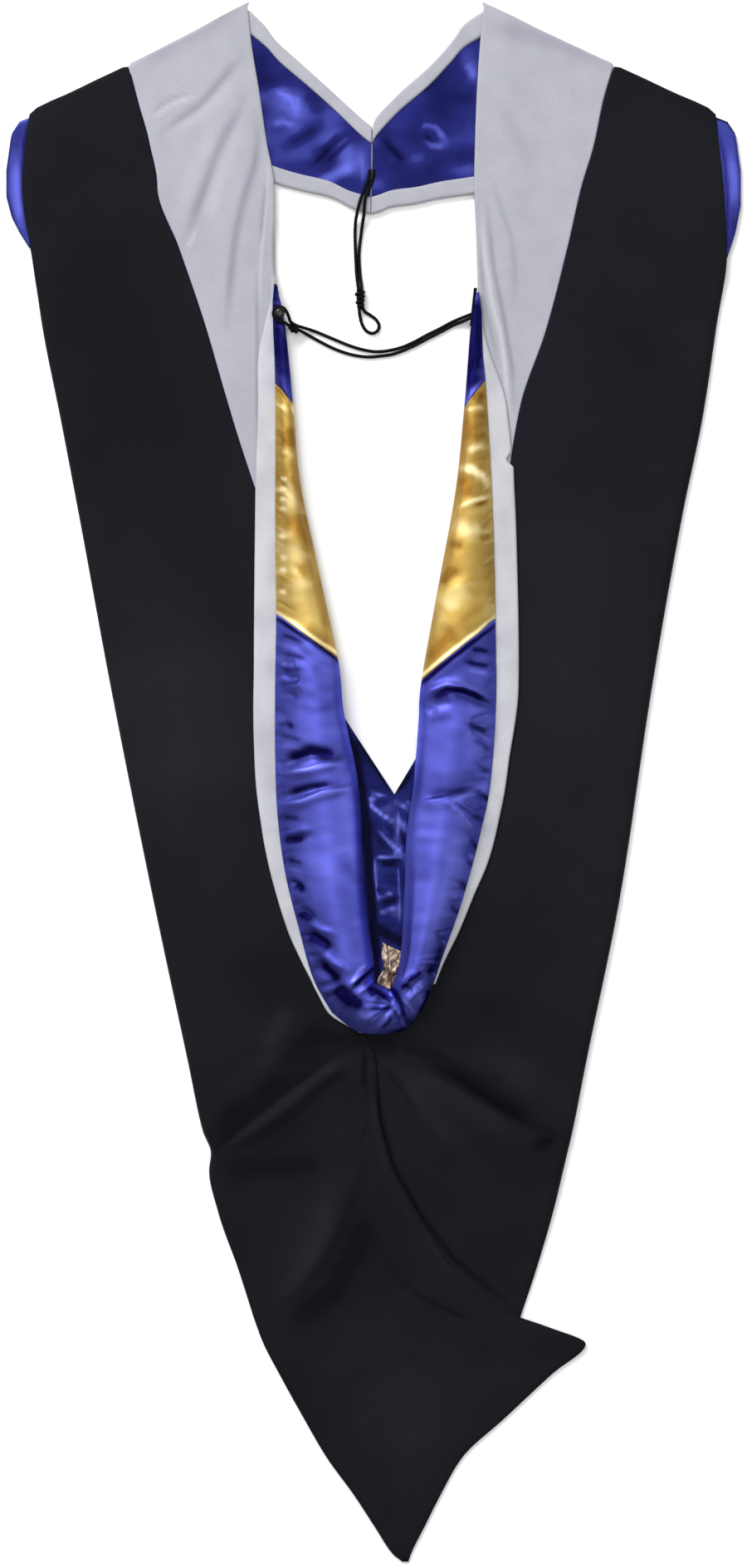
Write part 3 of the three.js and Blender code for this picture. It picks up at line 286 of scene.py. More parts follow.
BAND_ROWS = {
    Side.LEFT: (
        BandRow(0.003, -0.348, 0.114, -0.285),
        BandRow(0.013, -0.301, 0.118, -0.235),
        BandRow(0.024, -0.265, 0.121, -0.185),
        BandRow(0.040, -0.19, 0.125, -0.113),
        BandRow(0.056, -0.115, 0.131, -0.062),
        BandRow(0.072, -0.041, 0.134, -0.03),
        BandRow(0.079, -0.0045, 0.1355, -0.0085),
    ),
    Side.RIGHT: (
        BandRow(0.004, 0.307, 0.122, 0.283),
        BandRow(0.013, 0.249, 0.124, 0.226),
        BandRow(0.024, 0.215, 0.126, 0.17),
        BandRow(0.040, 0.154, 0.129, 0.113),
        BandRow(0.056, 0.077, 0.131, 0.05),
        BandRow(0.072, 0.011, 0.134, 0.018),
        BandRow(0.079, -0.0025, 0.1355, -0.0065),
    ),
}
ROLL_ROWS = {
    Side.LEFT: (
        RollRow(0.181, -0.2675, 0.182, -0.2635, 0.02),
        RollRow(0.196, -0.2665, 0.197, -0.2485, 0.07),
        RollRow(0.211, -0.265, 0.213, -0.238, 0.12),
        RollRow(0.246, -0.262, 0.257, -0.219, 0.25),
        RollRow(0.296, -0.26, 0.305, -0.201, 0.4),
        RollRow(0.344, -0.26, 0.359, -0.154, 0.55),
        RollRow(0.393, -0.258, 0.421, -0.097, 0.72),
        RollRow(0.44, -0.26, 0.455, -0.081, 0.85),
        RollRow(0.488, -0.259, 0.491, -0.048, 0.95),
        RollRow(0.523, -0.252, 0.521, -0.035, 1.0),
        RollRow(0.559, -0.231, 0.557, -0.028, 1.0),
        RollRow(0.595, -0.193, 0.594, -0.012, 0.95),
        RollRow(0.625, -0.156, 0.614, 0.0, 0.85),
        RollRow(0.6462, -0.106, 0.6285, 0.0, 0.72),
    ),
    Side.RIGHT: (
        RollRow(0.186, 0.2845, 0.1865, 0.2795, 0.02),
        RollRow(0.2065, 0.287, 0.2075, 0.2655, 0.1),
        RollRow(0.225, 0.29, 0.23, 0.257, 0.16),
        RollRow(0.244, 0.299, 0.26, 0.247, 0.25),
        RollRow(0.296, 0.311, 0.312, 0.224, 0.42),
        RollRow(0.345, 0.32, 0.37, 0.18, 0.6),
        RollRow(0.396, 0.325, 0.434, 0.131, 0.75),
        RollRow(0.45, 0.325, 0.463, 0.122, 0.9),
        RollRow(0.499, 0.31, 0.501, 0.109, 1.0),
        RollRow(0.531, 0.284, 0.533, 0.091, 1.0),
        RollRow(0.575, 0.234, 0.577, 0.083, 0.95),
        RollRow(0.61, 0.182, 0.61, 0.074, 0.85),
        RollRow(0.6322, 0.1498, 0.625, 0.06, 0.75),
    ),
}
GATHER_ROWS = (
    RollRow(0.6455, -0.108, 0.628, 0.003, 0.72, 1.0),
    RollRow(0.6575, -0.042, 0.6297, 0.022, 0.65, 0.8),
    RollRow(0.6590, 0.022, 0.6315, 0.037, 0.62, 0.0),
    RollRow(0.6565, 0.082, 0.6317, 0.049, 0.62, 0.0),
    RollRow(0.6450, 0.123, 0.6285, 0.054, 0.66, 0.3),
    RollRow(0.6315, 0.151, 0.6245, 0.0565, 0.75, 1.0),
)
INNER_CHEVRON_ROWS = (
    EdgeRow(0.6004, 0.024, 0.078),
    EdgeRow(0.6105, 0.0226, 0.076),
    EdgeRow(0.6145, 0.029, 0.066),
    EdgeRow(0.619, 0.0245, 0.062),
    EdgeRow(0.6268, 0.011, 0.06),
    EdgeRow(0.637, 0.008, 0.06),
)

SHELL_CREASES = (
    Crease(((420, 1236), (385, 1262), (335, 1300), (300, 1325), (262, 1345)), 7.0, 26.0, 12.0),
    Crease(((425, 1272), (390, 1296), (345, 1334), (305, 1361), (262, 1384)), 4.5, 5.0, 16.0),
    Crease(((400, 1350), (350, 1385), (300, 1402), (262, 1408)), -1.8, 16.0),
    Crease(((455, 1254), (505, 1262), (560, 1292), (610, 1325), (648, 1350)), 5.5, 24.0, 9.0),
    Crease(((475, 1292), (520, 1312), (570, 1345), (615, 1372), (640, 1385)), 2.5, 8.0, 18.0),
    Crease(((452, 1270), (480, 1310), (520, 1352), (560, 1400)), 2.6, 6.0, 12.0),
    Crease(((441, 1262), (445, 1305), (450, 1345)), -1.6, 3.0),
    Crease(((430, 1390), (408, 1465), (385, 1510), (352, 1548), (318, 1578)), 5.0, 8.0, 22.0),
    Crease(((455, 1430), (436, 1500), (412, 1545), (378, 1582), (340, 1608)), 2.2, 20.0, 8.0),
    Crease(((440, 1690), (452, 1770), (466, 1850)), 2.2, 8.0, 12.0),
    Crease(((372, 1205), (352, 1245), (325, 1285), (300, 1315)), 3.0, 9.0, 10.0),
    Crease(((345, 1195), (325, 1240), (300, 1280)), -2.0, 9.0, 12.0),
    Crease(((640, 1385), (655, 1378), (672, 1373)), -1.6, 4.0),
    Crease(((85, 505), (150, 560), (230, 640)), 1.2, 18.0, 26.0),
    Crease(((700, 300), (740, 420), (760, 560)), 1.2, 20.0, 26.0),
    Crease(((150, 800), (200, 950), (250, 1080)), 1.4, 22.0, 26.0),
    Crease(((690, 820), (670, 980), (640, 1120)), 1.4, 22.0, 26.0),
)
SATIN_CREASES = (
    Crease(((340, 921), (375, 909), (408, 911)), -2.9, 4.5, 2.6),
    Crease(((338, 930), (370, 927), (400, 918), (414, 908)), 2.3, 2.2, 5.0),
    Crease(((341, 963), (368, 954), (392, 947)), -1.9, 3.5, 1.8),
    Crease(((340, 970), (365, 964), (387, 954), (420, 947)), 2.2, 1.6, 4.5),
    Crease(((345, 1013), (358, 1009), (372, 1006)), -2.4, 2.4, 2.2),
    Crease(((343, 1004), (358, 1000), (374, 998)), 1.2, 3.0),
    Crease(((349, 1060), (357, 1064), (366, 1072)), -2.2, 2.4),
    Crease(((360, 1092), (370, 1097), (381, 1106)), -2.4, 2.6, 2.8),
    Crease(((370, 1120), (383, 1130), (398, 1139)), -2.7, 3.2),
    Crease(((380, 1155), (392, 1168), (411, 1186)), -2.9, 3.2, 4.0),
    Crease(((371, 1108), (388, 1118), (402, 1122)), 1.6, 2.5),
    Crease(((384, 1143), (400, 1156), (418, 1166)), 1.6, 2.6),
    Crease(((420, 1186), (437, 1172), (453, 1157)), 1.6, 1.6),
    Crease(((424, 1192), (441, 1178), (456, 1164)), -1.3, 1.5),
    Crease(((430, 1196), (447, 1182), (458, 1172)), 1.2, 1.5, 1.8),
    Crease(((341, 868), (352, 876)), -1.3, 2.0),
    Crease(((339, 797), (348, 801), (358, 800)), -1.6, 2.0),
    Crease(((339, 811), (350, 818), (364, 818)), -1.8, 2.4, 2.0),
    Crease(((340, 823), (353, 827), (368, 824)), 1.2, 2.4, 3.0),
    Crease(((338, 838), (349, 837), (360, 841)), -1.2, 2.0),
    Crease(((352, 780), (372, 792), (396, 812)), -1.0, 4.0, 5.0),
    Crease(((511, 846), (520, 833), (538, 826), (560, 829), (587, 842)), 2.9, 3.4, 2.2),
    Crease(((545, 833), (566, 839), (588, 849)), -2.2, 1.6, 3.0),
    Crease(((513, 862), (525, 850), (545, 846)), -1.3, 3.0),
    Crease(((565, 870), (577, 866), (589, 861)), -1.8, 2.2, 1.8),
    Crease(((566, 879), (577, 883), (588, 890)), -1.9, 2.0),
    Crease(((562, 875), (575, 874), (587, 876)), 1.3, 1.6),
    Crease(((512, 958), (540, 951), (575, 946), (591, 943)), -2.2, 8.0, 5.0),
    Crease(((500, 968), (545, 959), (584, 946)), 1.8, 2.2, 6.0),
    Crease(((540, 966), (556, 984), (573, 1003)), 1.7, 2.0, 2.2),
    Crease(((548, 964), (566, 975), (585, 991)), 1.3, 1.8, 2.0),
    Crease(((545, 973), (560, 990), (572, 1008)), -1.3, 2.0),
    Crease(((573, 952), (583, 958), (592, 966)), -2.1, 2.2, 2.6),
    Crease(((561, 1018), (567, 1028), (574, 1036)), -1.9, 2.2),
    Crease(((543, 1083), (549, 1092), (556, 1100)), -1.6, 2.0),
    Crease(((527, 1122), (533, 1131), (540, 1138)), -1.4, 2.0),
    Crease(((516, 1158), (520, 1168), (526, 1176)), -1.6, 2.0),
    Crease(((482, 1190), (492, 1178), (509, 1167)), 1.4, 1.6, 1.8),
    Crease(((487, 1197), (498, 1186), (512, 1174)), -1.3, 1.6),
    Crease(((489, 1206), (500, 1194), (514, 1184)), 1.0, 1.6),
    Crease(((457, 1183), (468, 1193), (477, 1203), (483, 1222)), -1.9, 1.8),
    Crease(((444, 1190), (458, 1199), (470, 1210)), 1.3, 2.0),
    Crease(((438, 1205), (455, 1208), (473, 1210)), -1.0, 1.6),
    Crease(((452, 1232), (463, 1221), (474, 1210)), -1.3, 1.7),
    Crease(((440, 1225), (455, 1216), (470, 1208)), 1.1, 1.8),
    Crease(((478, 1236), (479, 1222), (479, 1210)), 1.0, 1.6),
    Crease(((505, 1226), (494, 1217), (484, 1209)), -1.1, 1.7),
    Crease(((494, 1234), (488, 1222), (482, 1211)), 0.9, 1.5),
    Crease(((337, 637), (355, 629), (378, 625)), -0.95, 6.0, 4.5),
    Crease(((338, 655), (360, 648), (382, 642)), 0.65, 5.0, 7.0),
    Crease(((353, 684), (364, 689), (374, 694)), -0.6, 3.0),
    Crease(((337, 575), (352, 571), (366, 575)), -0.45, 4.0),
    Crease(((337, 741), (352, 752), (372, 767), (390, 780), (407, 792)), 1.2, 2.4, 1.2),
    Crease(((337, 466), (346, 472), (355, 487), (363, 512)), 0.45, 1.4, 2.0),
    Crease(((576, 611), (584, 607), (592, 605)), -0.9, 1.6),
    Crease(((545, 629), (556, 612), (568, 604), (582, 601)), 0.9, 2.4, 3.6),
    Crease(((552, 586), (564, 581), (577, 577)), -0.7, 3.4),
    Crease(((534, 669), (548, 662), (560, 660)), -0.65, 4.0),
    Crease(((524, 712), (540, 702), (558, 690)), -0.95, 3.4, 4.4),
    Crease(((524, 726), (548, 710), (577, 690)), 0.85, 4.0, 6.0),
    Crease(((516, 779), (530, 766), (545, 756)), -0.5, 5.0),
    Crease(((509, 818), (535, 799), (562, 776), (592, 749)), 1.2, 2.4, 1.2),
    Crease(((560, 491), (569, 475), (582, 460)), 0.45, 1.4, 2.0),
    Crease(((569, 505), (571, 530), (570, 548)), 0.4, 2.4),
)
BAND_CREASES = (
    Crease(((325, 126), (337, 112), (350, 117), (357, 138)), 0.45, 2.6),
    Crease(((327, 152), (341, 148), (356, 150)), 0.32, 2.6, 3.0),
    Crease(((338, 132), (346, 128)), -0.36, 3.0),
    Crease(((340, 178), (360, 165), (384, 152)), -0.5, 3.6, 3.2),
    Crease(((348, 183), (376, 170), (400, 153)), 0.27, 2.0, 2.4),
    Crease(((377, 198), (395, 184), (411, 172)), -0.41, 1.5, 1.4),
    Crease(((383, 190), (402, 173), (419, 159)), -0.41, 1.4, 1.6),
    Crease(((380, 195), (398, 179), (415, 166)), 0.36, 1.2),
    Crease(((398, 214), (412, 203), (424, 195)), 0.27, 2.6),
    Crease(((427, 196), (429, 212), (431, 227)), -0.41, 1.6),
    Crease(((437, 186), (438, 205), (436, 224)), 0.32, 1.8, 2.4),
    Crease(((356, 101), (361, 118), (358, 132)), -0.23, 2.4),
    Crease(((505, 158), (513, 151), (525, 154), (535, 165), (541, 176)), 0.36, 2.4, 2.0),
    Crease(((507, 166), (517, 173), (530, 178), (540, 177)), 0.32, 2.0, 2.4),
    Crease(((514, 163), (522, 165)), -0.36, 2.2),
    Crease(((555, 76), (565, 80), (572, 94)), 0.36, 2.6),
    Crease(((460, 170), (475, 190), (493, 208)), -0.36, 4.6),
    Crease(((453, 184), (466, 206), (484, 219)), 0.27, 3.0),
    Crease(((530, 105), (538, 108), (548, 104)), 0.18, 3.4),
    Crease(((498, 200), (520, 192), (552, 190)), -0.23, 5.0),
)
UNDER_CREASES = (
    Crease(((441, 962), (457, 964), (475, 962)), 0.6, 1.1, 1.6),
    Crease(((443, 972), (458, 986), (468, 1003), (477, 1022)), 0.7, 1.2),
    Crease(((452, 1000), (463, 1012), (475, 1026)), 0.5, 1.1),
    Crease(((480, 966), (487, 963), (494, 968), (492, 977)), 0.7, 1.1),
    Crease(((478, 984), (486, 980), (492, 987), (486, 995), (479, 991)), 0.7, 1.1),
    Crease(((452, 1033), (466, 1032), (482, 1033)), 0.5, 1.1, 1.4),
    Crease(((457, 1042), (470, 1043), (483, 1041)), -0.7, 1.6),
    Crease(((457, 1069), (470, 1067), (482, 1070)), -0.7, 1.7),
    Crease(((457, 1084), (470, 1087), (482, 1084)), -0.7, 1.7),
    Crease(((457, 1104), (470, 1103), (482, 1105)), -0.7, 1.7),
    Crease(((440, 1045), (443, 1090), (447, 1125)), -0.7, 2.2),
)

# Painted shade and highlight of the rolls' and gathers' creases, with a painted highlight and a painted
# shadow along each chevron's lower seam.
SATIN_PAINTED_SHADING = (
    Crease(((318, 729), (334, 739), (353, 751), (383, 772), (405, 787), (425, 801)), 1.3, 1.3),
    Crease(((318, 736), (334, 746), (353, 758), (383, 779), (406, 795), (425, 809)), -1.3, 1.2, 1.5),
    Crease(((490, 828), (510, 812), (543, 785), (570, 764), (596, 744), (615, 729)), 1.3, 1.3),
    Crease(((490, 837), (510, 821), (543, 794), (570, 773), (597, 752), (615, 737)), -1.3, 1.2, 1.5),
    Crease(((560, 491), (569, 475), (582, 459)), 0.8, 1.4),
    Crease(((566, 482), (574, 478), (583, 476)), -0.7, 1.8),
    Crease(((560, 497), (572, 493), (584, 492)), 0.6, 2.2),
    Crease(((558, 508), (564, 518), (562, 534)), -0.9, 3.6),
    Crease(((570, 505), (577, 503), (585, 502)), -0.6, 1.6),
    Crease(((568, 530), (577, 527), (586, 527)), -0.8, 2.0),
    Crease(((562, 545), (574, 541), (586, 540)), 0.6, 2.4),
    Crease(((570, 556), (578, 553), (587, 553)), -0.5, 1.6),
    Crease(((556, 566), (570, 568), (582, 575), (587, 585)), 0.9, 2.8),
    Crease(((549, 632), (566, 640), (582, 636)), 0.4, 5.0),
    Crease(((576, 650), (583, 648), (590, 648)), -0.6, 1.8),
    Crease(((337, 488), (343, 492), (350, 500)), 0.5, 2.4),
    Crease(((337, 533), (347, 534), (356, 538)), -0.5, 2.2),
    Crease(((337, 545), (348, 547), (358, 552)), 0.5, 3.0),
    Crease(((337, 578), (341, 578), (346, 580)), 0.8, 1.4),
    Crease(((337, 590), (341, 590), (346, 592)), 0.8, 1.4),
    Crease(((337, 602), (341, 602), (346, 604)), 0.8, 1.4),
    Crease(((337, 614), (341, 614), (346, 616)), 0.6, 1.4),
    Crease(((337, 646), (341, 647), (346, 649)), 0.9, 1.6),
    Crease(((337, 672), (341, 673), (346, 675)), 0.9, 1.6),
    Crease(((337, 686), (341, 687), (346, 689)), 0.8, 1.6),
    Crease(((337, 712), (341, 713), (346, 715)), 0.8, 1.6),
    Crease(((362, 515), (356, 500), (350, 486)), 0.9, 1.4),
    Crease(((345, 516), (350, 528), (356, 540)), -0.8, 6.0),
    Crease(((357, 540), (365, 575), (372, 605)), -0.5, 3.0),
    Crease(((347, 575), (349, 598), (351, 618)), 0.3, 6.0),
    Crease(((339, 630), (357, 636), (379, 662)), -0.8, 4.5, 3.0),
    Crease(((352, 627), (364, 627), (376, 628)), -0.5, 2.5, 3.0),
    Crease(((345, 655), (358, 680), (364, 720)), 0.35, 9.0),
    Crease(((359, 684), (366, 688), (374, 694)), -0.6, 2.8),
    Crease(((384, 690), (391, 730), (398, 770)), -0.7, 3.4),
    Crease(((366, 753), (382, 764), (398, 779)), -0.6, 4.0),
    Crease(((561, 500), (555, 545), (549, 560)), -0.6, 3.0),
    Crease(((580, 474), (578, 482), (574, 490)), -0.6, 4.0),
    Crease(((565, 518), (573, 516), (582, 514)), -0.5, 3.0),
    Crease(((549, 576), (562, 586), (560, 602)), -0.9, 4.5),
    Crease(((553, 612), (570, 604), (588, 599)), 0.8, 1.6, 2.0),
    Crease(((570, 611), (579, 608), (588, 606)), -0.9, 1.4),
    Crease(((543, 630), (556, 640), (560, 652)), 0.3, 7.0),
    Crease(((539, 656), (549, 658), (558, 661)), -0.7, 3.2),
    Crease(((529, 706), (541, 691), (551, 684)), -0.9, 3.6),
    Crease(((532, 736), (548, 722), (564, 706)), 0.45, 7.0),
    Crease(((514, 802), (528, 780), (551, 754)), -0.9, 5.5, 5.0),
    Crease(((551, 754), (569, 738), (584, 728)), -0.35, 3.0),
    Crease(((537, 632), (526, 704), (514, 782)), -0.6, 2.0),
    Crease(((340, 787), (355, 790), (371, 796)), -0.7, 1.8),
    Crease(((340, 805), (352, 808), (366, 807)), -0.8, 2.2),
    Crease(((338, 797), (350, 799), (364, 798)), 0.4, 1.6),
    Crease(((345, 840), (365, 836), (386, 838)), -0.45, 4.0),
    Crease(((336, 871), (346, 873), (356, 876)), -0.8, 2.2),
    Crease(((340, 916), (374, 905), (411, 912)), -1.2, 4.5, 3.0),
    Crease(((340, 931), (375, 926), (413, 919)), 0.7, 1.3, 1.6),
    Crease(((344, 956), (375, 947), (406, 944)), -0.9, 3.4, 2.0),
    Crease(((341, 968), (372, 962), (418, 949)), 0.6, 1.3, 1.6),
    Crease(((341, 1013), (354, 1011), (368, 1009)), -1.0, 3.2, 2.8),
    Crease(((354, 1064), (360, 1068), (367, 1073)), -1.0, 3.0, 2.6),
    Crease(((359, 1098), (368, 1102), (377, 1108)), -1.0, 3.0, 2.6),
    Crease(((369, 1124), (384, 1131), (401, 1141)), -1.1, 3.6, 4.6),
    Crease(((384, 1158), (396, 1168), (410, 1180)), -1.1, 4.6),
    Crease(((404, 1186), (421, 1197), (440, 1213)), -1.2, 4.2, 4.6),
    Crease(((422, 1184), (431, 1168), (443, 1157)), 0.9, 1.2),
    Crease(((425, 1188), (437, 1174), (453, 1161)), -1.0, 1.8),
    Crease(((429, 1200), (439, 1187), (454, 1174)), 0.6, 1.4),
    Crease(((430, 888), (437, 940), (444, 1040), (451, 1132)), -0.5, 2.0),
    Crease(((406, 885), (416, 950), (424, 1010), (431, 1060), (437, 1120)), 0.22, 5.5),
    Crease(((498, 930), (492, 1000), (487, 1070), (484, 1120), (481, 1170)), 0.85, 3.2),
    Crease(((507, 850), (504, 890), (500, 930)), 0.3, 3.6),
    Crease(((322, 290), (332, 390), (352, 492)), -0.9, 8.0),
    Crease(((580, 350), (572, 425), (562, 485)), -1.0, 8.0),
    Crease(((337, 765), (352, 769), (368, 777)), -0.7, 1.8),
    Crease(((337, 776), (350, 779), (366, 786)), 0.4, 1.6),
    Crease(((338, 822), (352, 824), (372, 820)), -0.6, 1.8),
    Crease(((360, 850), (380, 856), (404, 852)), -0.4, 3.0),
    Crease(((338, 886), (352, 888), (366, 893)), -0.6, 1.8),
    Crease(((336, 897), (352, 899), (366, 902)), 0.4, 1.6),
    Crease(((342, 985), (352, 984), (364, 985)), -0.5, 2.0),
    Crease(((346, 1036), (356, 1036), (366, 1040)), -0.7, 2.0),
    Crease(((350, 1048), (358, 1052), (366, 1056)), 0.4, 1.8),
    Crease(((540, 770), (556, 776), (575, 772)), -0.35, 3.0),
    Crease(((560, 798), (574, 801), (589, 803)), -0.9, 1.8),
    Crease(((562, 808), (575, 810), (589, 813)), 0.5, 1.5),
    Crease(((566, 783), (577, 784), (589, 786)), -0.7, 1.6),
    Crease(((513, 870), (530, 866), (548, 862)), -0.35, 3.5),
    Crease(((572, 918), (580, 924), (590, 930)), -0.6, 1.8),
    Crease(((566, 980), (574, 984), (584, 990)), -0.6, 2.0),
    Crease(((561, 1036), (568, 1042), (574, 1050)), -0.8, 2.2),
    Crease(((553, 1062), (560, 1068), (566, 1076)), -0.8, 2.2),
    Crease(((545, 1090), (551, 1098), (557, 1104)), -0.8, 2.2),
    Crease(((400, 1185), (412, 1196), (426, 1212)), -0.6, 5.0),
    Crease(((470, 1243), (492, 1239), (504, 1225), (513, 1204), (520, 1184)), -1.4, 1.5),
    Crease(((498, 1222), (505, 1208), (510, 1190)), 0.5, 2.6),
    Crease(((414, 1034), (424, 1050), (436, 1066)), -0.4, 4.5),
    Crease(((508, 835), (545, 805), (592, 768)), -0.4, 4.0, 5.0),
    Crease(((514, 836), (530, 824), (548, 820), (566, 827), (590, 840)), 0.7, 2.4, 2.0),
    Crease(((520, 842), (538, 831), (556, 831), (572, 837), (590, 848)), -1.0, 1.6, 3.0),
    Crease(((515, 842), (535, 838), (558, 848)), -0.4, 3.0, 4.0),
    Crease(((560, 872), (573, 876), (588, 883)), -1.0, 1.8),
    Crease(((570, 890), (580, 896), (590, 904)), -0.7, 2.0),
    Crease(((508, 962), (540, 955), (572, 950)), -0.7, 5.5, 3.5),
    Crease(((538, 966), (562, 955), (590, 945)), 0.5, 2.0, 2.6),
    Crease(((540, 967), (555, 984), (571, 1002)), 0.6, 1.8),
    Crease(((574, 952), (584, 958), (592, 966)), -0.9, 2.0, 2.4),
    Crease(((565, 1008), (571, 1016), (577, 1024)), -0.9, 2.6),
    Crease(((533, 1132), (526, 1154), (517, 1176)), -0.8, 2.6),
    Crease(((503, 1169), (492, 1180), (481, 1191)), -0.9, 1.6),
    Crease(((500, 1162), (489, 1172), (479, 1182)), 0.5, 1.4),
    Crease(((487, 1183), (493, 1187), (499, 1193)), -0.9, 1.5),
    Crease(((493, 1176), (500, 1172), (509, 1167)), -0.9, 1.5),
    Crease(((448, 1178), (462, 1183), (475, 1193), (483, 1207), (488, 1229)), -1.3, 2.0),
    Crease(((442, 1186), (446, 1192), (451, 1199)), -0.9, 2.2),
    Crease(((444, 1212), (459, 1213), (474, 1210)), -1.0, 1.4),
    Crease(((429, 1217), (441, 1221), (455, 1222)), 0.6, 2.6),
    Crease(((474, 1221), (467, 1230), (460, 1238)), -0.9, 1.3),
    Crease(((475, 1212), (479, 1220), (484, 1227)), -0.9, 1.6),
    Crease(((444, 1187), (454, 1193), (468, 1204)), -1.0, 3.0),
    Crease(((456, 1186), (466, 1191), (474, 1199)), 0.5, 1.2),
    Crease(((486, 1186), (500, 1194), (512, 1184)), 0.5, 3.0),
    Crease(((434, 1222), (452, 1224), (470, 1216)), 0.5, 1.6),
    Crease(((452, 1240), (462, 1228), (470, 1214)), 0.6, 1.1),
    Crease(((492, 1204), (500, 1200), (510, 1192)), 0.5, 2.6),
    Crease(((566, 985), (548, 1060), (520, 1135)), 0.45, 8.0),
    Crease(((576, 835), (579, 900), (576, 950)), 0.25, 8.0),
    Crease(((513, 1184), (504, 1214), (484, 1240), (450, 1243)), -0.4, 2.0),
    Crease(((484, 1199), (494, 1211), (500, 1222)), 1.0, 1.1),
    Crease(((495, 1187), (504, 1197), (508, 1209)), 0.8, 1.1),
    Crease(((478, 1214), (484, 1226), (487, 1236)), 0.8, 1.0),
)
# Painted shade and highlight of the lining's creases in the V, with painted shadow beside the left roll and
# above the gold patch.
UNDER_PAINTED_SHADING = (
    Crease(
        ((415, 868), (430, 918), (438, 960), (443, 1020), (446, 1065), (451, 1124), (457, 1190)),
        -4.0, 2.4,
    ),
    Crease(((428, 880), (446, 915), (456, 942)), -0.8, 6.0, 9.0),
    Crease(((495, 932), (488, 942), (482, 952)), -0.8, 4.0),
    Crease(((452, 970), (458, 966), (466, 966)), -0.8, 2.2),
    Crease(((446, 984), (454, 1004), (462, 1022)), -0.8, 3.2, 3.4),
    Crease(((464, 994), (470, 998), (475, 1004)), -0.7, 1.4),
    Crease(((442, 963), (457, 958), (474, 960)), 1.25, 0.8),
    Crease(((444, 961), (447, 970), (460, 981), (476, 990)), 1.25, 0.9),
    Crease(((449, 994), (463, 1009), (480, 1024), (484, 1030)), 0.94, 1.5),
    Crease(((476, 967), (486, 970), (496, 966)), 1.01, 0.8),
    Crease(((480, 975), (480, 990), (479, 1008)), 0.55, 1.0),
    Crease(((476, 986), (484, 992), (490, 998)), 0.55, 2.0),
    Crease(((478, 977), (483, 977), (488, 978)), -0.9, 1.0),
    Crease(((484, 1002), (487, 1012), (488, 1022)), -1.2, 1.8),
    Crease(((490, 1014), (482, 1022), (474, 1030)), 0.62, 0.9),
    Crease(((450, 1034), (467, 1031), (488, 1030)), 1.25, 0.8, 0.9),
    Crease(((451, 1031), (452, 1058), (455, 1084)), 1.09, 0.8, 1.0),
    Crease(((479, 1034), (481, 1076), (481, 1116)), 0.55, 0.8),
    Crease(((458, 1038), (468, 1041), (480, 1038)), -1.6, 1.5, 1.7),
    Crease(((462, 1054), (470, 1056), (478, 1054)), -0.6, 1.6),
    Crease(((453, 1072), (459, 1073), (464, 1072)), -1.0, 1.4),
    Crease(((458, 1088), (468, 1086), (479, 1081)), -1.7, 1.6, 1.8),
    Crease(((455, 1080), (466, 1078), (478, 1072)), 0.7, 0.9),
    Crease(((456, 1100), (466, 1096), (478, 1092)), 0.7, 1.4),
    Crease(((458, 1112), (468, 1114), (478, 1112)), -0.6, 2.4),
    Crease(((448, 1116), (468, 1126), (492, 1140)), -3.0, 3.2, 3.0),
    Crease(((418, 862), (445, 910), (472, 958)), -1.2, 1.4),
    Crease(((500, 925), (487, 940), (475, 957)), -1.2, 1.4),
)
# Painted shade and highlight along the folds of the black back and its tail.
SHELL_PAINTED_SHADING = (
    Crease(((432, 1250), (395, 1275), (345, 1311), (300, 1347), (255, 1388)), -1.5, 1.8, 20.0),
    Crease(((412, 1276), (392, 1286), (345, 1321), (300, 1357), (262, 1390)), 0.7, 14.0, 1.8),
    Crease(((400, 1395), (350, 1403), (300, 1406), (262, 1406)), -0.9, 10.0, 9.0),
    Crease(((352, 1205), (338, 1235), (318, 1268)), 0.7, 6.0, 8.0),
    Crease(((392, 1225), (375, 1255), (340, 1290)), -0.6, 10.0),
    Crease(((400, 1258), (440, 1256), (485, 1262)), -1.0, 8.0),
    Crease(((470, 1256), (520, 1274), (590, 1322), (648, 1360)), -1.3, 8.0, 2.4),
    Crease(((495, 1282), (560, 1318), (622, 1358)), 0.5, 2.4, 16.0),
    Crease(((560, 1245), (610, 1280), (660, 1330)), 0.5, 16.0, 10.0),
    Crease(((458, 1282), (478, 1302), (500, 1336)), -0.7, 3.0),
    Crease(((482, 1300), (520, 1345), (560, 1390)), 0.35, 9.0),
    Crease(
        ((449, 1268), (455, 1320), (458, 1345), (473, 1403), (505, 1460), (546, 1515), (622, 1579)),
        -1.2, 2.4, 1.6,
    ),
    Crease(
        ((443, 1262), (449, 1320), (452, 1350), (466, 1410), (497, 1466), (538, 1523), (614, 1588)),
        0.25, 1.6, 3.0,
    ),
    Crease(((440, 1262), (438, 1290), (438, 1312)), -0.8, 2.4),
    Crease(((398, 1420), (390, 1480), (365, 1538), (328, 1586)), 0.7, 7.0, 10.0),
    Crease(((440, 1452), (425, 1500), (395, 1552), (338, 1597)), -1.3, 12.0, 5.0),
    Crease(((645, 1385), (655, 1379), (668, 1374)), -1.2, 4.0),
    Crease(((90, 250), (130, 420), (170, 600)), -0.45, 60.0, 40.0),
    Crease(((200, 760), (220, 880), (235, 980)), 0.6, 50.0),
    Crease(((320, 1130), (330, 1180), (340, 1230)), -0.5, 24.0),
    Crease(((590, 1180), (585, 1230), (570, 1280)), -0.4, 24.0, 30.0),
    Crease(((700, 560), (690, 760), (670, 940)), 0.35, 40.0),
    Crease(((300, 1640), (360, 1720), (420, 1800)), -0.3, 26.0),
    Crease(((470, 1640), (490, 1700), (500, 1760)), 0.4, 24.0),
)
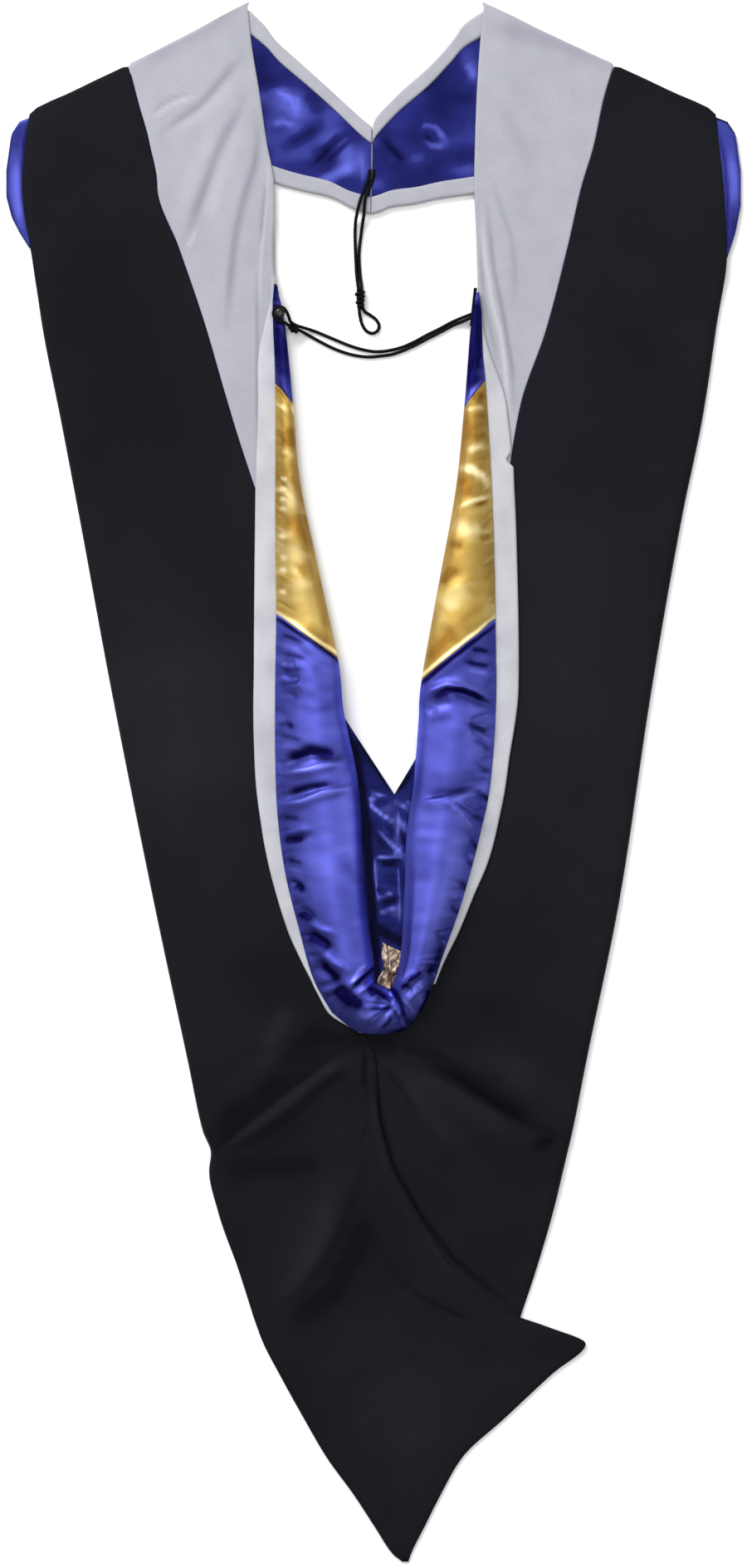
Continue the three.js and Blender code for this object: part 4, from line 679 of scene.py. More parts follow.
# Painted shade and highlight of the velvet trims' folds, with painted shade along their top edges; the folds'
# relief is drawn from the same rows.
TRIM_FOLDS_AND_PAINTED_SHADING = (
    Crease(((293, 70), (277, 86), (257, 111), (239, 130), (218, 145), (193, 164)), -0.75, 2.4, 2.8),
    Crease(((236, 119), (218, 124), (200, 133), (186, 145)), 0.8, 1.3),
    Crease(((230, 113), (212, 119), (196, 128), (184, 139)), -0.5, 1.0, 1.6),
    Crease(((284, 96), (264, 124), (241, 142), (205, 162)), 0.35, 3.5),
    Crease(
        ((295, 120), (286, 141), (270, 168), (259, 195), (248, 227), (236, 259), (225, 292)),
        -0.75, 2.8, 4.0,
    ),
    Crease(((262, 150), (245, 185), (230, 225), (218, 260)), 0.3, 6.0),
    Crease(((293, 152), (275, 195), (262, 232), (250, 275)), 0.35, 4.0),
    Crease(((238, 277), (232, 289), (226, 301)), 0.8, 1.1),
    Crease(
        ((309, 135), (311, 173), (307, 200), (295, 236), (286, 273), (280, 314), (276, 355), (274, 395)),
        -0.75, 3.2, 2.4,
    ),
    Crease(((322, 215), (318, 255), (314, 295)), -0.7, 1.6),
    Crease(((325, 185), (322, 236), (318, 282), (314, 330), (312, 380)), 0.7, 1.0),
    Crease(((310, 330), (310, 409), (310, 455), (310, 540)), -0.6, 1.2),
    Crease(((160, 80), (225, 42), (292, 8)), -0.45, 9.0),
    Crease(((580, 30), (660, 50), (735, 78)), -0.45, 7.0),
    Crease(((592, 215), (603, 250), (617, 291), (621, 327), (620, 366)), -0.35, 1.8, 2.4),
    Crease(((580, 250), (584, 309), (592, 364), (603, 405), (608, 441), (611, 482), (618, 516)), 0.9, 1.6),
    Crease(((587, 250), (595, 327), (607, 386), (617, 445), (620, 495)), -0.7, 1.8),
    Crease(((577, 285), (582, 360), (592, 404), (600, 440)), -0.5, 1.6),
    Crease(((600, 130), (625, 170), (640, 205)), -0.25, 6.0),
)
# Painted shade and highlight of the front lining's folds at the shoulders.
FRONT_PAINTED_SHADING = (
    Crease(((20, 192), (20, 230), (25, 272)), 0.75, 3.2),
    Crease(((24, 146), (22, 184)), -0.4, 6.0),
    Crease(((34, 140), (27, 200), (28, 240), (36, 294)), -0.9, 1.3),
    Crease(((16, 148), (9, 205), (9, 235), (18, 268), (34, 298)), -0.7, 0.9),
    Crease(((880, 186), (884, 220), (884, 248)), 0.6, 3.0),
    Crease(((884, 255), (882, 280), (876, 306)), -0.7, 3.4),
    Crease(((862, 146), (872, 190), (876, 240), (875, 302)), -0.8, 1.2),
    Crease(((866, 140), (884, 160), (891, 215), (891, 250), (883, 288)), -0.6, 0.9),
)
# Painted shade and highlight of the neckband satin's creases.
BAND_PAINTED_SHADING = (
    Crease(((480, 200), (525, 130), (572, 70)), -0.35, 22.0),
    Crease(((342, 110), (350, 140), (372, 172)), 0.35, 9.0),
    Crease(((400, 150), (415, 180), (425, 210)), 0.3, 7.0, 9.0),
    Crease(((505, 205), (535, 195), (568, 190)), -0.5, 6.0),
    Crease(((310, 60), (320, 90), (328, 110)), -0.5, 8.0),
    Crease(((328, 110), (340, 112), (356, 122), (358, 138)), 0.7, 3.0),
    Crease(((327, 150), (342, 146), (357, 152)), 0.6, 2.6),
    Crease(((345, 176), (366, 164), (386, 152)), -0.9, 3.4),
    Crease(((375, 201), (396, 181), (417, 160)), -0.9, 1.8),
    Crease(((383, 186), (397, 173), (410, 160)), -0.7, 1.6),
    Crease(((392, 198), (406, 184), (420, 171)), -0.8, 1.6),
    Crease(((382, 222), (405, 210), (430, 198)), 0.7, 4.0),
    Crease(((505, 158), (513, 151), (525, 154), (537, 170)), 0.7, 2.4),
    Crease(((507, 168), (520, 176), (537, 178)), 0.6, 2.4),
    Crease(((513, 164), (520, 165), (527, 168)), -0.2, 2.4),
    Crease(((562, 75), (568, 84), (572, 96)), 0.7, 3.0),
    Crease(((456, 162), (472, 180), (490, 199)), -0.9, 3.4),
    Crease(((436, 180), (438, 205), (436, 226)), 0.4, 3.0),
    Crease(((478, 200), (500, 195), (560, 200)), 0.3, 5.0),
    Crease(((372, 110), (380, 125), (385, 140)), -0.5, 5.0),
    Crease(((505, 110), (520, 100), (540, 92)), -0.4, 6.0),
)

LOOP_LEFT_ROUTE = (
    (-0.0022, 0.4196, 0.0057), (-0.0033, 0.4128, 0.0056), (-0.0062, 0.406, 0.0056),
    (-0.0086, 0.3997, 0.0056), (-0.0104, 0.3935, 0.0056), (-0.0115, 0.3882, 0.0049),
    (-0.0122, 0.3846, 0.0029), (-0.0127, 0.3758, 0.0014), (-0.0123, 0.3622, 0.0012),
    (-0.0116, 0.3485, 0.0012), (-0.0107, 0.3406, 0.0026),
)
LOOP_RIGHT_ROUTE = (
    (0.0004, 0.4193, 0.0057), (-0.0007, 0.4122, 0.0056), (-0.0034, 0.4054, 0.0056),
    (-0.0057, 0.3992, 0.0056), (-0.0063, 0.3935, 0.0056), (-0.0066, 0.3882, 0.0049),
    (-0.0072, 0.3846, 0.0029), (-0.0085, 0.3758, 0.0014), (-0.0099, 0.3622, 0.0012),
    (-0.0093, 0.3485, 0.0012), (-0.0083, 0.3406, 0.0026),
)
LOOP_EYE_ROUTE = (
    (-0.0096, 0.3216, 0.0026), (-0.0089, 0.3176, 0.0012), (-0.0076, 0.3134, 0.0011),
    (-0.0049, 0.3095, 0.0011), (-0.001, 0.3078, 0.0011), (0.0026, 0.3094, 0.0011),
    (0.0038, 0.3131, 0.0011), (0.0018, 0.3171, 0.0011), (-0.0023, 0.3203, 0.0012),
    (-0.0062, 0.3228, 0.0026),
)
CROSS_UPPER_ROUTE = (
    (0.0674, 0.3206, 0.0056), (0.0626, 0.3189, 0.0036), (0.0541, 0.3156, 0.0011),
    (0.0455, 0.311, 0.0011), (0.0364, 0.3065, 0.0011), (0.0285, 0.3022, 0.0011),
    (0.0205, 0.2986, 0.0011), (0.0125, 0.2964, 0.0011), (0.0057, 0.2954, 0.0011),
    (-0.0006, 0.2954, 0.0011), (-0.0085, 0.2969, 0.0011), (-0.0165, 0.2994, 0.0011),
    (-0.0256, 0.3031, 0.0011), (-0.033, 0.3062, 0.0011), (-0.041, 0.3094, 0.0015),
    (-0.05, 0.3119, 0.0044),
)
CROSS_LOWER_ROUTE = (
    (0.0674, 0.3182, 0.0056), (0.0626, 0.3164, 0.0036), (0.0541, 0.313, 0.0011),
    (0.0455, 0.3084, 0.0011), (0.0364, 0.3038, 0.0011), (0.0285, 0.2996, 0.0011),
    (0.0205, 0.296, 0.0011), (0.0125, 0.2933, 0.0011), (0.0046, 0.2922, 0.0011),
    (-0.0028, 0.2916, 0.0011), (-0.0097, 0.2922, 0.0011), (-0.0165, 0.2936, 0.0011),
    (-0.0239, 0.296, 0.0011), (-0.0307, 0.299, 0.0011), (-0.0376, 0.3026, 0.0011),
    (-0.0444, 0.3063, 0.0015), (-0.0501, 0.3092, 0.0044),
)
CROSS_EYE_ROUTE = (
    (-0.0566, 0.3148, 0.0104), (-0.0577, 0.3174, 0.0128), (-0.059, 0.3206, 0.014),
    (-0.0612, 0.3236, 0.014), (-0.0648, 0.3245, 0.014), (-0.0677, 0.3224, 0.014),
    (-0.0682, 0.3187, 0.014), (-0.0661, 0.3158, 0.014), (-0.0628, 0.3147, 0.0139),
    (-0.0603, 0.3138, 0.0128), (-0.0583, 0.3125, 0.0104),
)


def to_hood(pixels: tuple[tuple[float, float], ...]) -> np.ndarray:
    """Turns places in the photo into places on the hood.

    Args:
        pixels: Places in the photo, each as its column and its row.

    Returns:
        One row of X and Y in metres for each place.
    """
    places = np.array(pixels, float)
    x = (places[:, 0] - PHOTO_MIDDLE[0]) * PHOTO_SCALE
    y = (PHOTO_MIDDLE[1] - places[:, 1]) * PHOTO_SCALE
    return np.stack([x, y], axis=1)


def ease(value: np.ndarray) -> np.ndarray:
    """Clamps values between 0 and 1 and eases them at both ends.

    Args:
        value: Values to ease.

    Returns:
        Eased values, from 3 v squared less 2 v cubed.
    """
    share = np.clip(value, 0.0, 1.0)
    return share * share * (3.0 - 2.0 * share)


def curve(
    share: np.ndarray, start: np.ndarray, end: np.ndarray, start_slope: np.ndarray, end_slope: np.ndarray
) -> np.ndarray:
    """Smooth curve between two values, with a slope given at both.

    Args:
        share: How far along the curve, from 0 to 1.
        start: Value at the start.
        end: Value at the end.
        start_slope: Slope at the start.
        end_slope: Slope at the end.

    Returns:
        Value at each share.
    """
    squared = share**2
    cubed = share**3
    return (
        (2 * cubed - 3 * squared + 1) * start
        + (cubed - 2 * squared + share) * start_slope
        + (3 * squared - 2 * cubed) * end
        + (cubed - squared) * end_slope
    )


def through(rows: tuple, place: str, column: str) -> Edge:
    """Makes a function that reads a table's column on a smooth curve without overshoot.

    Args:
        rows: Table whose places grow from row to row.
        place: Name of the column that holds the places.
        column: Name of the column to read.

    Returns:
        Function from places to values. Slopes at the rows are harmonic means of their neighbours.
    """
    places = np.array([getattr(row, place) for row in rows], float)
    values = np.array([getattr(row, column) for row in rows], float)
    spans = np.diff(places)
    slopes = np.diff(values) / spans
    product = slopes[:-1] * slopes[1:]
    total = np.where(product > 0, slopes[:-1] + slopes[1:], 1.0)
    means = np.where(product > 0, 2 * product / total, 0.0)
    tangents = np.concatenate([slopes[:1], means, slopes[-1:]])

    def read(at: np.ndarray) -> np.ndarray:
        """Reads the column at some places.

        Args:
            at: Places, held inside the table's range.

        Returns:
            Value at each place.
        """
        held = np.clip(at, places[0], places[-1])
        row = np.clip(np.searchsorted(places, held, side="right") - 1, 0, len(spans) - 1)
        span = spans[row]
        share = (held - places[row]) / span
        return curve(share, values[row], values[row + 1], span * tangents[row], span * tangents[row + 1])

    return read


def along_rows(values: np.ndarray, place: np.ndarray) -> np.ndarray:
    """Reads rows of values on a smooth curve through them, at row numbers that needn't be whole.

    Args:
        values: Array whose first axis is the row number.
        place: Row numbers to read.

    Returns:
        Array with one entry for each row number asked for.
    """
    last = len(values) - 1
    row = np.clip(np.floor(place).astype(int), 0, last - 1)
    share = (place - row).reshape((-1,) + (1,) * (values.ndim - 1))
    before = values[np.maximum(row - 1, 0)]
    start = values[row]
    end = values[row + 1]
    after = values[np.minimum(row + 2, last)]
    return curve(share, start, end, (end - before) / 2, (after - start) / 2)


def reach_along(points: np.ndarray) -> np.ndarray:
    """Distance of each point from the first one, along the points.

    Args:
        points: Points in order.

    Returns:
        Distance in metres for each point.
    """
    return np.concatenate([[0.0], np.cumsum(np.linalg.norm(np.diff(points, axis=0), axis=1))])


def relief(creases: tuple[Crease, ...], x: np.ndarray, y: np.ndarray) -> np.ndarray:
    """Height of a set of creases at places on the hood.

    Args:
        creases: Creases to add up, or a table of painted shading.
        x: X of the places in metres.
        y: Y of the places in metres.

    Returns:
        Height in metres: each crease is a bell across its path and fades towards both ends of it.
    """
    height = np.zeros_like(x)
    for crease in creases:
        points = to_hood(crease.path)
        lengths = np.linalg.norm(np.diff(points, axis=0), axis=1)
        whole = lengths.sum()
        nearest = np.full_like(x, np.inf)
        side = np.zeros_like(x)
        place = np.zeros_like(x)
        passed = 0.0
        for start, run, length in zip(points[:-1], np.diff(points, axis=0), lengths):
            unit = run / length
            reach = np.clip((x - start[0]) * unit[0] + (y - start[1]) * unit[1], 0.0, length)
            away_x = x - start[0] - reach * unit[0]
            away_y = y - start[1] - reach * unit[1]
            distance = np.hypot(away_x, away_y)
            closer = distance < nearest
            nearest = np.where(closer, distance, nearest)
            side = np.where(closer, unit[0] * away_y - unit[1] * away_x, side)
            place = np.where(closer, (passed + reach) / whole, place)
            passed += length
        below = crease.above if crease.below is None else crease.below
        width = np.where(side > 0, crease.above, below) / 1000
        fade = 0.25 + 0.75 * ease(place / 0.25) * ease((1 - place) / 0.25)
        height += crease.rise / 1000 * np.exp(-((nearest / width) ** 2)) * fade
    return height


def painted_shading(creases: tuple[Crease, ...], x: np.ndarray, y: np.ndarray, strength: float = 1.0) -> np.ndarray:
    """Painted shade and painted highlight of the cloth, from a table of painted shading.

    Args:
        creases: Painted shades and highlights to add up.
        x: X of the places in metres.
        y: Y of the places in metres.
        strength: Number that every painted shade and highlight is multiplied by.

    Returns:
        Painted shade, below 0, and painted highlight, above 0, at each place.
    """
    return relief(creases, x, y) * (1000 * strength)


def soft_noise(x: np.ndarray, y: np.ndarray, size_x: float, size_y: float, seed: int) -> np.ndarray:
    """Smooth random height between -1 and 1.

    Args:
        x: X of the places in metres.
        y: Y of the places in metres.
        size_x: Size of its bumps along X in metres.
        size_y: Size of its bumps along Y in metres.
        seed: Number that fixes the pattern.

    Returns:
        Height at each place: random values on a lattice, eased from one to the next.
    """
    cells = 64
    shift = 1000.0
    lattice = np.random.default_rng(seed).uniform(-1.0, 1.0, (cells, cells))
    column = x / size_x + shift
    row = y / size_y + shift
    column_number = np.floor(column).astype(int)
    row_number = np.floor(row).astype(int)
    column_share = ease(column - column_number)
    row_share = ease(row - row_number)

    def corner(step_row: int, step_column: int) -> np.ndarray:
        """Lattice value at a corner of each place's cell.

        Args:
            step_row: 0 or 1 rows on.
            step_column: 0 or 1 columns on.

        Returns:
            Value for each place.
        """
        return lattice[(row_number + step_row) % cells, (column_number + step_column) % cells]

    upper = corner(0, 0) * (1 - column_share) + corner(0, 1) * column_share
    lower = corner(1, 0) * (1 - column_share) + corner(1, 1) * column_share
    return upper * (1 - row_share) + lower * row_share


def grid_normals(grid: np.ndarray, column: int | None = None) -> np.ndarray:
    """Unit normals of a grid of points.

    Args:
        grid: Points as rows by columns by three.
        column: Column whose normals point up, or None for the middle one.

    Returns:
        Normals in the same layout: cross product of the steps along both axes.
    """
    normals = np.cross(np.gradient(grid, axis=1), np.gradient(grid, axis=0))
    normals /= np.maximum(np.linalg.norm(normals, axis=2, keepdims=True), 1e-12)
    upright = grid.shape[1] // 2 if column is None else column
    return normals if normals[:, upright, 2].mean() > 0 else -normals


def dense_at_ends(count: int, share: float = 0.5) -> np.ndarray:
    """Shares from 0 to 1 that lie closer together near both ends.

    Args:
        count: Number of steps.
        share: How far the steps follow a cosine rather than an even row.

    Returns:
        Shares, one more than the number of steps.
    """
    even = np.linspace(0.0, 1.0, count + 1)
    return (1 - share) * even + share * (0.5 - 0.5 * np.cos(math.pi * even))


def rounded_edge(distance: np.ndarray, radius: float) -> np.ndarray:
    """Share of its full height that cloth has near a rounded edge.

    Args:
        distance: Distance from the edge in metres.
        radius: Distance over which it rounds off, in metres.

    Returns:
        0 at the edge and 1 from the radius on, along a quarter circle.
    """
    inside = 1.0 - np.clip(distance / radius, 0.0, 1.0)
    return np.sqrt(np.maximum(0.0, 1.0 - inside**2))


@dataclass(frozen=True)
class Layout:
    """Size of the hood and the heights of its plies above the floor, in metres."""

    length: float = 1.067
    width: float = 0.503
    shell: float = 0.0012
    satin: float = 0.001
    velvet: float = 0.0016
    hem: float = 0.0012
    gap: float = 0.0004
    seam: float = 0.0004
    trim_width: float = 0.076
    strip_width: float = 0.016
    velvet_top: float = 0.039
    velvet_end: float = 0.344
    tail_start: float = 0.843
    side_point: float = 0.86
    crescent_start: float = 0.055
    crescent_end: float = 0.172

    @property
    def under_lining(self) -> float:
        """Underside of the lining that lies on the under layer."""
        return self.velvet + self.gap

    @property
    def outer_lining(self) -> float:
        """Underside of the back's own lining."""
        return self.under_lining + self.satin + self.gap

    @property
    def outer_shell(self) -> float:
        """Underside of the black back."""
        return self.outer_lining + self.satin + self.gap

    @property
    def strip(self) -> float:
        """Underside of the narrow velvet strip."""
        return self.outer_shell + self.velvet + self.gap

    @property
    def roll_seam(self) -> float:
        """Underside of a roll where it is sewn to the strip."""
        return self.strip + 0.0004 + self.velvet + self.gap

    @property
    def roll_seam_on_shell(self) -> float:
        """Underside of the gathers where they lie on the black back."""
        return self.outer_shell + self.shell + self.gap

    def across(self, out: np.ndarray) -> np.ndarray:
        """X of a share of the half width."""
        return out * self.width / 2

    def along(self, down: np.ndarray) -> np.ndarray:
        """Y of a share of the length."""
        return (0.5 - down) * self.length

    def rows(self, start: float, end: float, step: float) -> np.ndarray:
        """Even rows down the hood as shares of its length, about one step in metres apart."""
        return np.linspace(start, end, round((end - start) * self.length / step) + 1)

    def grid(self, down: np.ndarray, start: np.ndarray, end: np.ndarray, shares: np.ndarray) -> np.ndarray:
        """Flat grid of rows across the hood between two edges.

        Args:
            down: Places down the hood.
            start: X of the first edge at each place.
            end: X of the second edge at each place.
            shares: Places across each row, from 0 to 1.

        Returns:
            Grid of points with Z = 0.
        """
        x = start[:, None] + (end - start)[:, None] * shares[None, :]
        y = np.broadcast_to(self.along(down)[:, None], x.shape)
        return np.stack([x, y, np.zeros_like(x)], axis=-1)

    def fold(self, side: Side) -> Edge:
        """Outer fold of one side, over the whole length.

        Args:
            side: Side of the hood.

        Returns:
            Function from places down the hood to X in metres.
        """
        body = through(OUTER_FOLDS, "down", side.value)
        tail = through(TAIL_FOLDS, "down", side.value)
        return lambda down: self.across(np.where(down < self.tail_start, body(down), tail(down)))

    def face(self, side: Side) -> Edge:
        """Function from places down the hood to X of one side's face edge."""
        table = through(FACE_EDGES, "down", side.value)
        return lambda down: self.across(table(down))

    def shell_inner(self, side: Side) -> Edge:
        """Inner edge of the black back: beside the velvet, under the rolls, then in the tail.

        Args:
            side: Side of the hood.

        Returns:
            Function from places down the hood to X in metres.
        """
        face = self.face(side)
        breadth = through(TRIM_BREADTHS, "down", side.value)
        below = through(SHELL_INNER_EDGES, "down", side.value)
        tail = through(TAIL_FOLDS, "down", "right")

        def read(down: np.ndarray) -> np.ndarray:
            """Reads the edge.

            Args:
                down: Places down the hood.

            Returns:
                X in metres.
            """
            beside = face(down) + side.sign * self.trim_width * breadth(down)
            inner = np.where(down <= self.velvet_end, beside, self.across(below(down)))
            if side is Side.RIGHT:
                return inner
            return np.where(down <= self.tail_start, inner, self.across(tail(down)))

        return read


class NodeTree:
    """Short way to add nodes to a material or a node group, with their links."""

    def __init__(self, tree: bpy.types.NodeTree) -> None:
        """Takes the tree to add nodes to."""
        self.tree = tree

    def add(self, kind: str, **inputs: object) -> bpy.types.Node:
        """Adds a node, with properties and inputs by name.

        Args:
            kind: Blender's name of the node's type.
            inputs: Properties of the node, or its inputs with spaces as low lines, or as in_ and the
                input's number. A socket is linked and any other value is set.

        Returns:
            The node.
        """
        node = self.tree.nodes.new(kind)
        for key, value in inputs.items():
            if hasattr(node, key):
                setattr(node, key, value)
                continue
            socket = node.inputs[int(key[3:]) if key.startswith("in_") else key.replace("_", " ")]
            if isinstance(value, bpy.types.NodeSocket):
                self.tree.links.new(value, socket)
            else:
                socket.default_value = value
        return node

    def mix(self, share: Socket, first: Socket, second: Socket) -> Socket:
        """Mixes two colours by the share of the second one."""
        return self.add("ShaderNodeMix", data_type="RGBA", Factor=share, in_6=first, in_7=second).outputs[2]


def node_group(
    name: str, inputs: dict[str, object], outputs: dict[str, str], fill: Fill
) -> bpy.types.NodeTree:
    """Makes a node group once and gives it again afterwards.

    Args:
        name: Name of the group.
        inputs: Default value for each input's name: a number, a colour, or None for a vector.
        outputs: Socket type for each output's name.
        fill: Function that adds the nodes between the group's inputs and outputs.

    Returns:
        The group.
    """
    known = bpy.data.node_groups.get(name)
    if known:
        return known
    group = bpy.data.node_groups.new(name, "ShaderNodeTree")
    kinds = {type(None): "NodeSocketVector", float: "NodeSocketFloat", tuple: "NodeSocketColor"}
    for label, value in inputs.items():
        socket = group.interface.new_socket(name=label, in_out="INPUT", socket_type=kinds[type(value)])
        if value is not None:
            socket.default_value = value
    for label, kind in outputs.items():
        group.interface.new_socket(name=label, in_out="OUTPUT", socket_type=kind)
    nodes = NodeTree(group)
    nodes.add("NodeGroupOutput", **fill(nodes, nodes.add("NodeGroupInput").outputs))
    return group


def weave(nodes: NodeTree, given: Mapping[str, Socket]) -> dict[str, Socket]:
    """Bumped normal of a woven cloth, from threads that run two ways.

    Args:
        nodes: Tree to add to.
        given: Sockets with the place, the threads per metre, their slant and their depth.

    Returns:
        The normal.
    """
    turned = nodes.add(
        "ShaderNodeVectorRotate", rotation_type="Z_AXIS", Vector=given["Place"], Angle=given["Slant"]
    ).outputs[0]
    sized = nodes.add(
        "ShaderNodeVectorMath", operation="SCALE", in_0=turned, Scale=given["Threads per metre"]
    ).outputs[0]
    threads = [
        nodes.add("ShaderNodeTexWave", bands_direction=axis, Vector=sized, Scale=ONE_WAVE, Distortion=0.6)
        for axis in "XY"
    ]
    lengthwise, crosswise = (thread.outputs["Fac"] for thread in threads)
    mask = nodes.add("ShaderNodeMath", operation="MULTIPLY", in_0=lengthwise, in_1=crosswise)
    bump = nodes.add("ShaderNodeBump", Height=mask.outputs[0], Strength=0.6, Distance=given["Depth"])
    return {"Normal": bump.outputs["Normal"]}


def mottle(nodes: NodeTree, given: Mapping[str, Socket]) -> dict[str, Socket]:
    """Uneven colour of a piece of cloth.

    Args:
        nodes: Tree to add to.
        given: Sockets with the place, the patches per metre and the two colours.

    Returns:
        The colour.
    """
    size = given["Patches per metre"]
    noise = nodes.add("ShaderNodeTexNoise", Vector=given["Place"], Detail=4.0, Scale=size)
    spread = nodes.add("ShaderNodeMapRange", Value=noise.outputs["Fac"], From_Min=0.3, From_Max=0.7)
    return {"Colour": nodes.mix(spread.outputs["Result"], given["Low"], given["High"])}


def shade_and_highlight(nodes: NodeTree, given: Mapping[str, Socket]) -> dict[str, Socket]:
    """Colour darkened by painted shade and brightened by painted highlight, with random mottle.

    Args:
        nodes: Tree to add to.
        given: Sockets with the colour, its painted shade colour and its painted highlight colour.

    Returns:
        The colour.
    """
    shade_and_mottle = nodes.add("ShaderNodeAttribute", attribute_name="shade_and_mottle").outputs["Fac"]
    above = nodes.add("ShaderNodeMath", operation="MAXIMUM", in_0=shade_and_mottle, in_1=0.0).outputs[0]
    below = nodes.add("ShaderNodeMath", operation="MULTIPLY", use_clamp=True, in_0=shade_and_mottle, in_1=-1.0).outputs[0]
    brighter = nodes.mix(above, given["Colour"], given["Bright"])
    return {"Colour": nodes.mix(below, brighter, given["Dark"])}


@dataclass(frozen=True)
class Finish:
    """Colours and surface of one kind of cloth, cord or button.

    Its colour wanders between low and high. The cloth's painted shading and random mottle take it towards
    dark, the colour of painted shade, and towards bright, the colour of painted highlight. The edge tint
    colours what is mirrored at a flat angle. What isn't given is as in plain satin.
    """

    name: str
    slot: str
    low: Color
    high: Color
    dark: Color
    bright: Color
    roughness: float
    metallic: float = 0.0
    sheen: float = 0.0
    sheen_tint: Color = (1.0, 1.0, 1.0)
    specular: float = 0.25
    edge_tint: Color = (1.0, 1.0, 1.0)
    coat: float = 0.0
    threads_per_metre: float = 2200.0
    slant: float = 0.0
    depth: float = 0.00002
    patches_per_metre: float = 30.0

    def material(self) -> bpy.types.Material:
        """Makes the material once and gives it again afterwards.

        Returns:
            Procedural material of this finish.
        """
        name = f"{self.name}_finish"
        known = bpy.data.materials.get(name)
        if known:
            return known
        made = bpy.data.materials.new(name)
        made.use_nodes = True
        made.node_tree.nodes.clear()
        nodes = NodeTree(made.node_tree)
        place = nodes.add("ShaderNodeTexCoord").outputs["Object"]
        grey = (0.5, 0.5, 0.5, 1.0)
        colours = {"Place": None, "Patches per metre": 60.0, "Low": grey, "High": grey}
        uneven = nodes.add(
            "ShaderNodeGroup",
            node_tree=node_group("uneven_colour", colours, {"Colour": "NodeSocketColor"}, mottle),
            Place=place,
            Patches_per_metre=self.patches_per_metre,
            Low=(*self.low, 1.0),
            High=(*self.high, 1.0),
        )
        threads = {"Place": None, "Threads per metre": 1500.0, "Slant": 0.8, "Depth": 0.00005}
        woven = nodes.add(
            "ShaderNodeGroup",
            node_tree=node_group("woven_threads", threads, {"Normal": "NodeSocketVector"}, weave),
            Place=place,
            Threads_per_metre=self.threads_per_metre,
            Slant=self.slant,
            Depth=self.depth,
        )
        painted_shading = {"Colour": grey, "Dark": grey, "Bright": grey}
        toned = nodes.add(
            "ShaderNodeGroup",
            node_tree=node_group("painted_shading_colour", painted_shading, {"Colour": "NodeSocketColor"}, shade_and_highlight),
            Colour=uneven.outputs["Colour"],
            Dark=(*self.dark, 1.0),
            Bright=(*self.bright, 1.0),
        )
        shader = nodes.add(
            "ShaderNodeBsdfPrincipled",
            Base_Color=toned.outputs["Colour"],
            Normal=woven.outputs["Normal"],
            Roughness=self.roughness,
            Metallic=self.metallic,
            Sheen_Weight=self.sheen,
            Sheen_Roughness=0.5,
            Sheen_Tint=(*self.sheen_tint, 1.0),
            Specular_IOR_Level=self.specular,
            Specular_Tint=(*self.edge_tint, 1.0),
            Coat_Weight=self.coat,
        )
        nodes.add("ShaderNodeOutputMaterial", Surface=shader.outputs["BSDF"])
        return made


BLACK_CLOTH = Finish(
    name="black_cloth", slot="black_cloth", low=(0.0056, 0.006, 0.0085), high=(0.0078, 0.0083, 0.0112),
    dark=(0.0022, 0.0024, 0.0036), bright=(0.0135, 0.0142, 0.018), roughness=0.7, sheen=0.01,
    sheen_tint=(0.7, 0.75, 0.9), specular=0.06, threads_per_metre=1100.0, slant=0.9, depth=0.00012,
    patches_per_metre=18.0,
)
PALE_VELVET = Finish(
    name="pale_velvet", slot="pale_velvet", low=(0.332, 0.335, 0.378), high=(0.36, 0.363, 0.402),
    dark=(0.19, 0.192, 0.24), bright=(0.47, 0.473, 0.5), roughness=0.95, sheen=0.1, specular=0.2,
    threads_per_metre=900.0, slant=0.3, depth=0.00015, patches_per_metre=70.0,
)
STRIP_VELVET = replace(
    PALE_VELVET, name="strip_velvet", low=(0.44, 0.443, 0.475), high=(0.48, 0.484, 0.515),
    dark=(0.28, 0.282, 0.33), bright=(0.56, 0.563, 0.58),
)
BLUE_SATIN = Finish(
    name="blue_satin", slot="blue_satin", low=(0.078, 0.086, 0.42), high=(0.094, 0.104, 0.5),
    dark=(0.006, 0.005, 0.07), bright=(0.2, 0.22, 0.84), roughness=0.5, metallic=0.85,
    edge_tint=(0.35, 0.4, 1.0),
)
FRONT_SATIN = replace(
    BLUE_SATIN, name="front_satin", low=(0.024, 0.028, 0.16), high=(0.036, 0.041, 0.23),
    dark=(0.004, 0.004, 0.04), bright=(0.09, 0.1, 0.45), roughness=0.36,
)
# Blue satin painted darker for the neckband: painted shade for the weaker sheen of its crosswise grain.
BAND_SATIN = replace(
    BLUE_SATIN, name="band_satin", low=(0.007, 0.008, 0.062), high=(0.013, 0.015, 0.11),
    dark=(0.002, 0.002, 0.022), bright=(0.075, 0.09, 0.4), roughness=0.32, metallic=0.9,
)
# The lining's blue satin painted darker: painted shade where it lies inside the hood, in the V and under the
# back.
SHADED_LINING_SATIN = replace(
    BLUE_SATIN, name="navy_satin", slot="navy_satin", low=(0.005, 0.006, 0.05), high=(0.009, 0.0105, 0.078),
    dark=(0.0015, 0.0015, 0.008), bright=(0.1, 0.11, 0.42), roughness=0.32, metallic=0.88,
)
GOLD_SATIN = Finish(
    name="gold_satin", slot="gold_satin", low=(0.3, 0.17, 0.03), high=(0.56, 0.39, 0.1),
    dark=(0.28, 0.14, 0.018), bright=(0.95, 0.82, 0.45), roughness=0.6, metallic=0.75, specular=0.35,
    patches_per_metre=25.0,
)
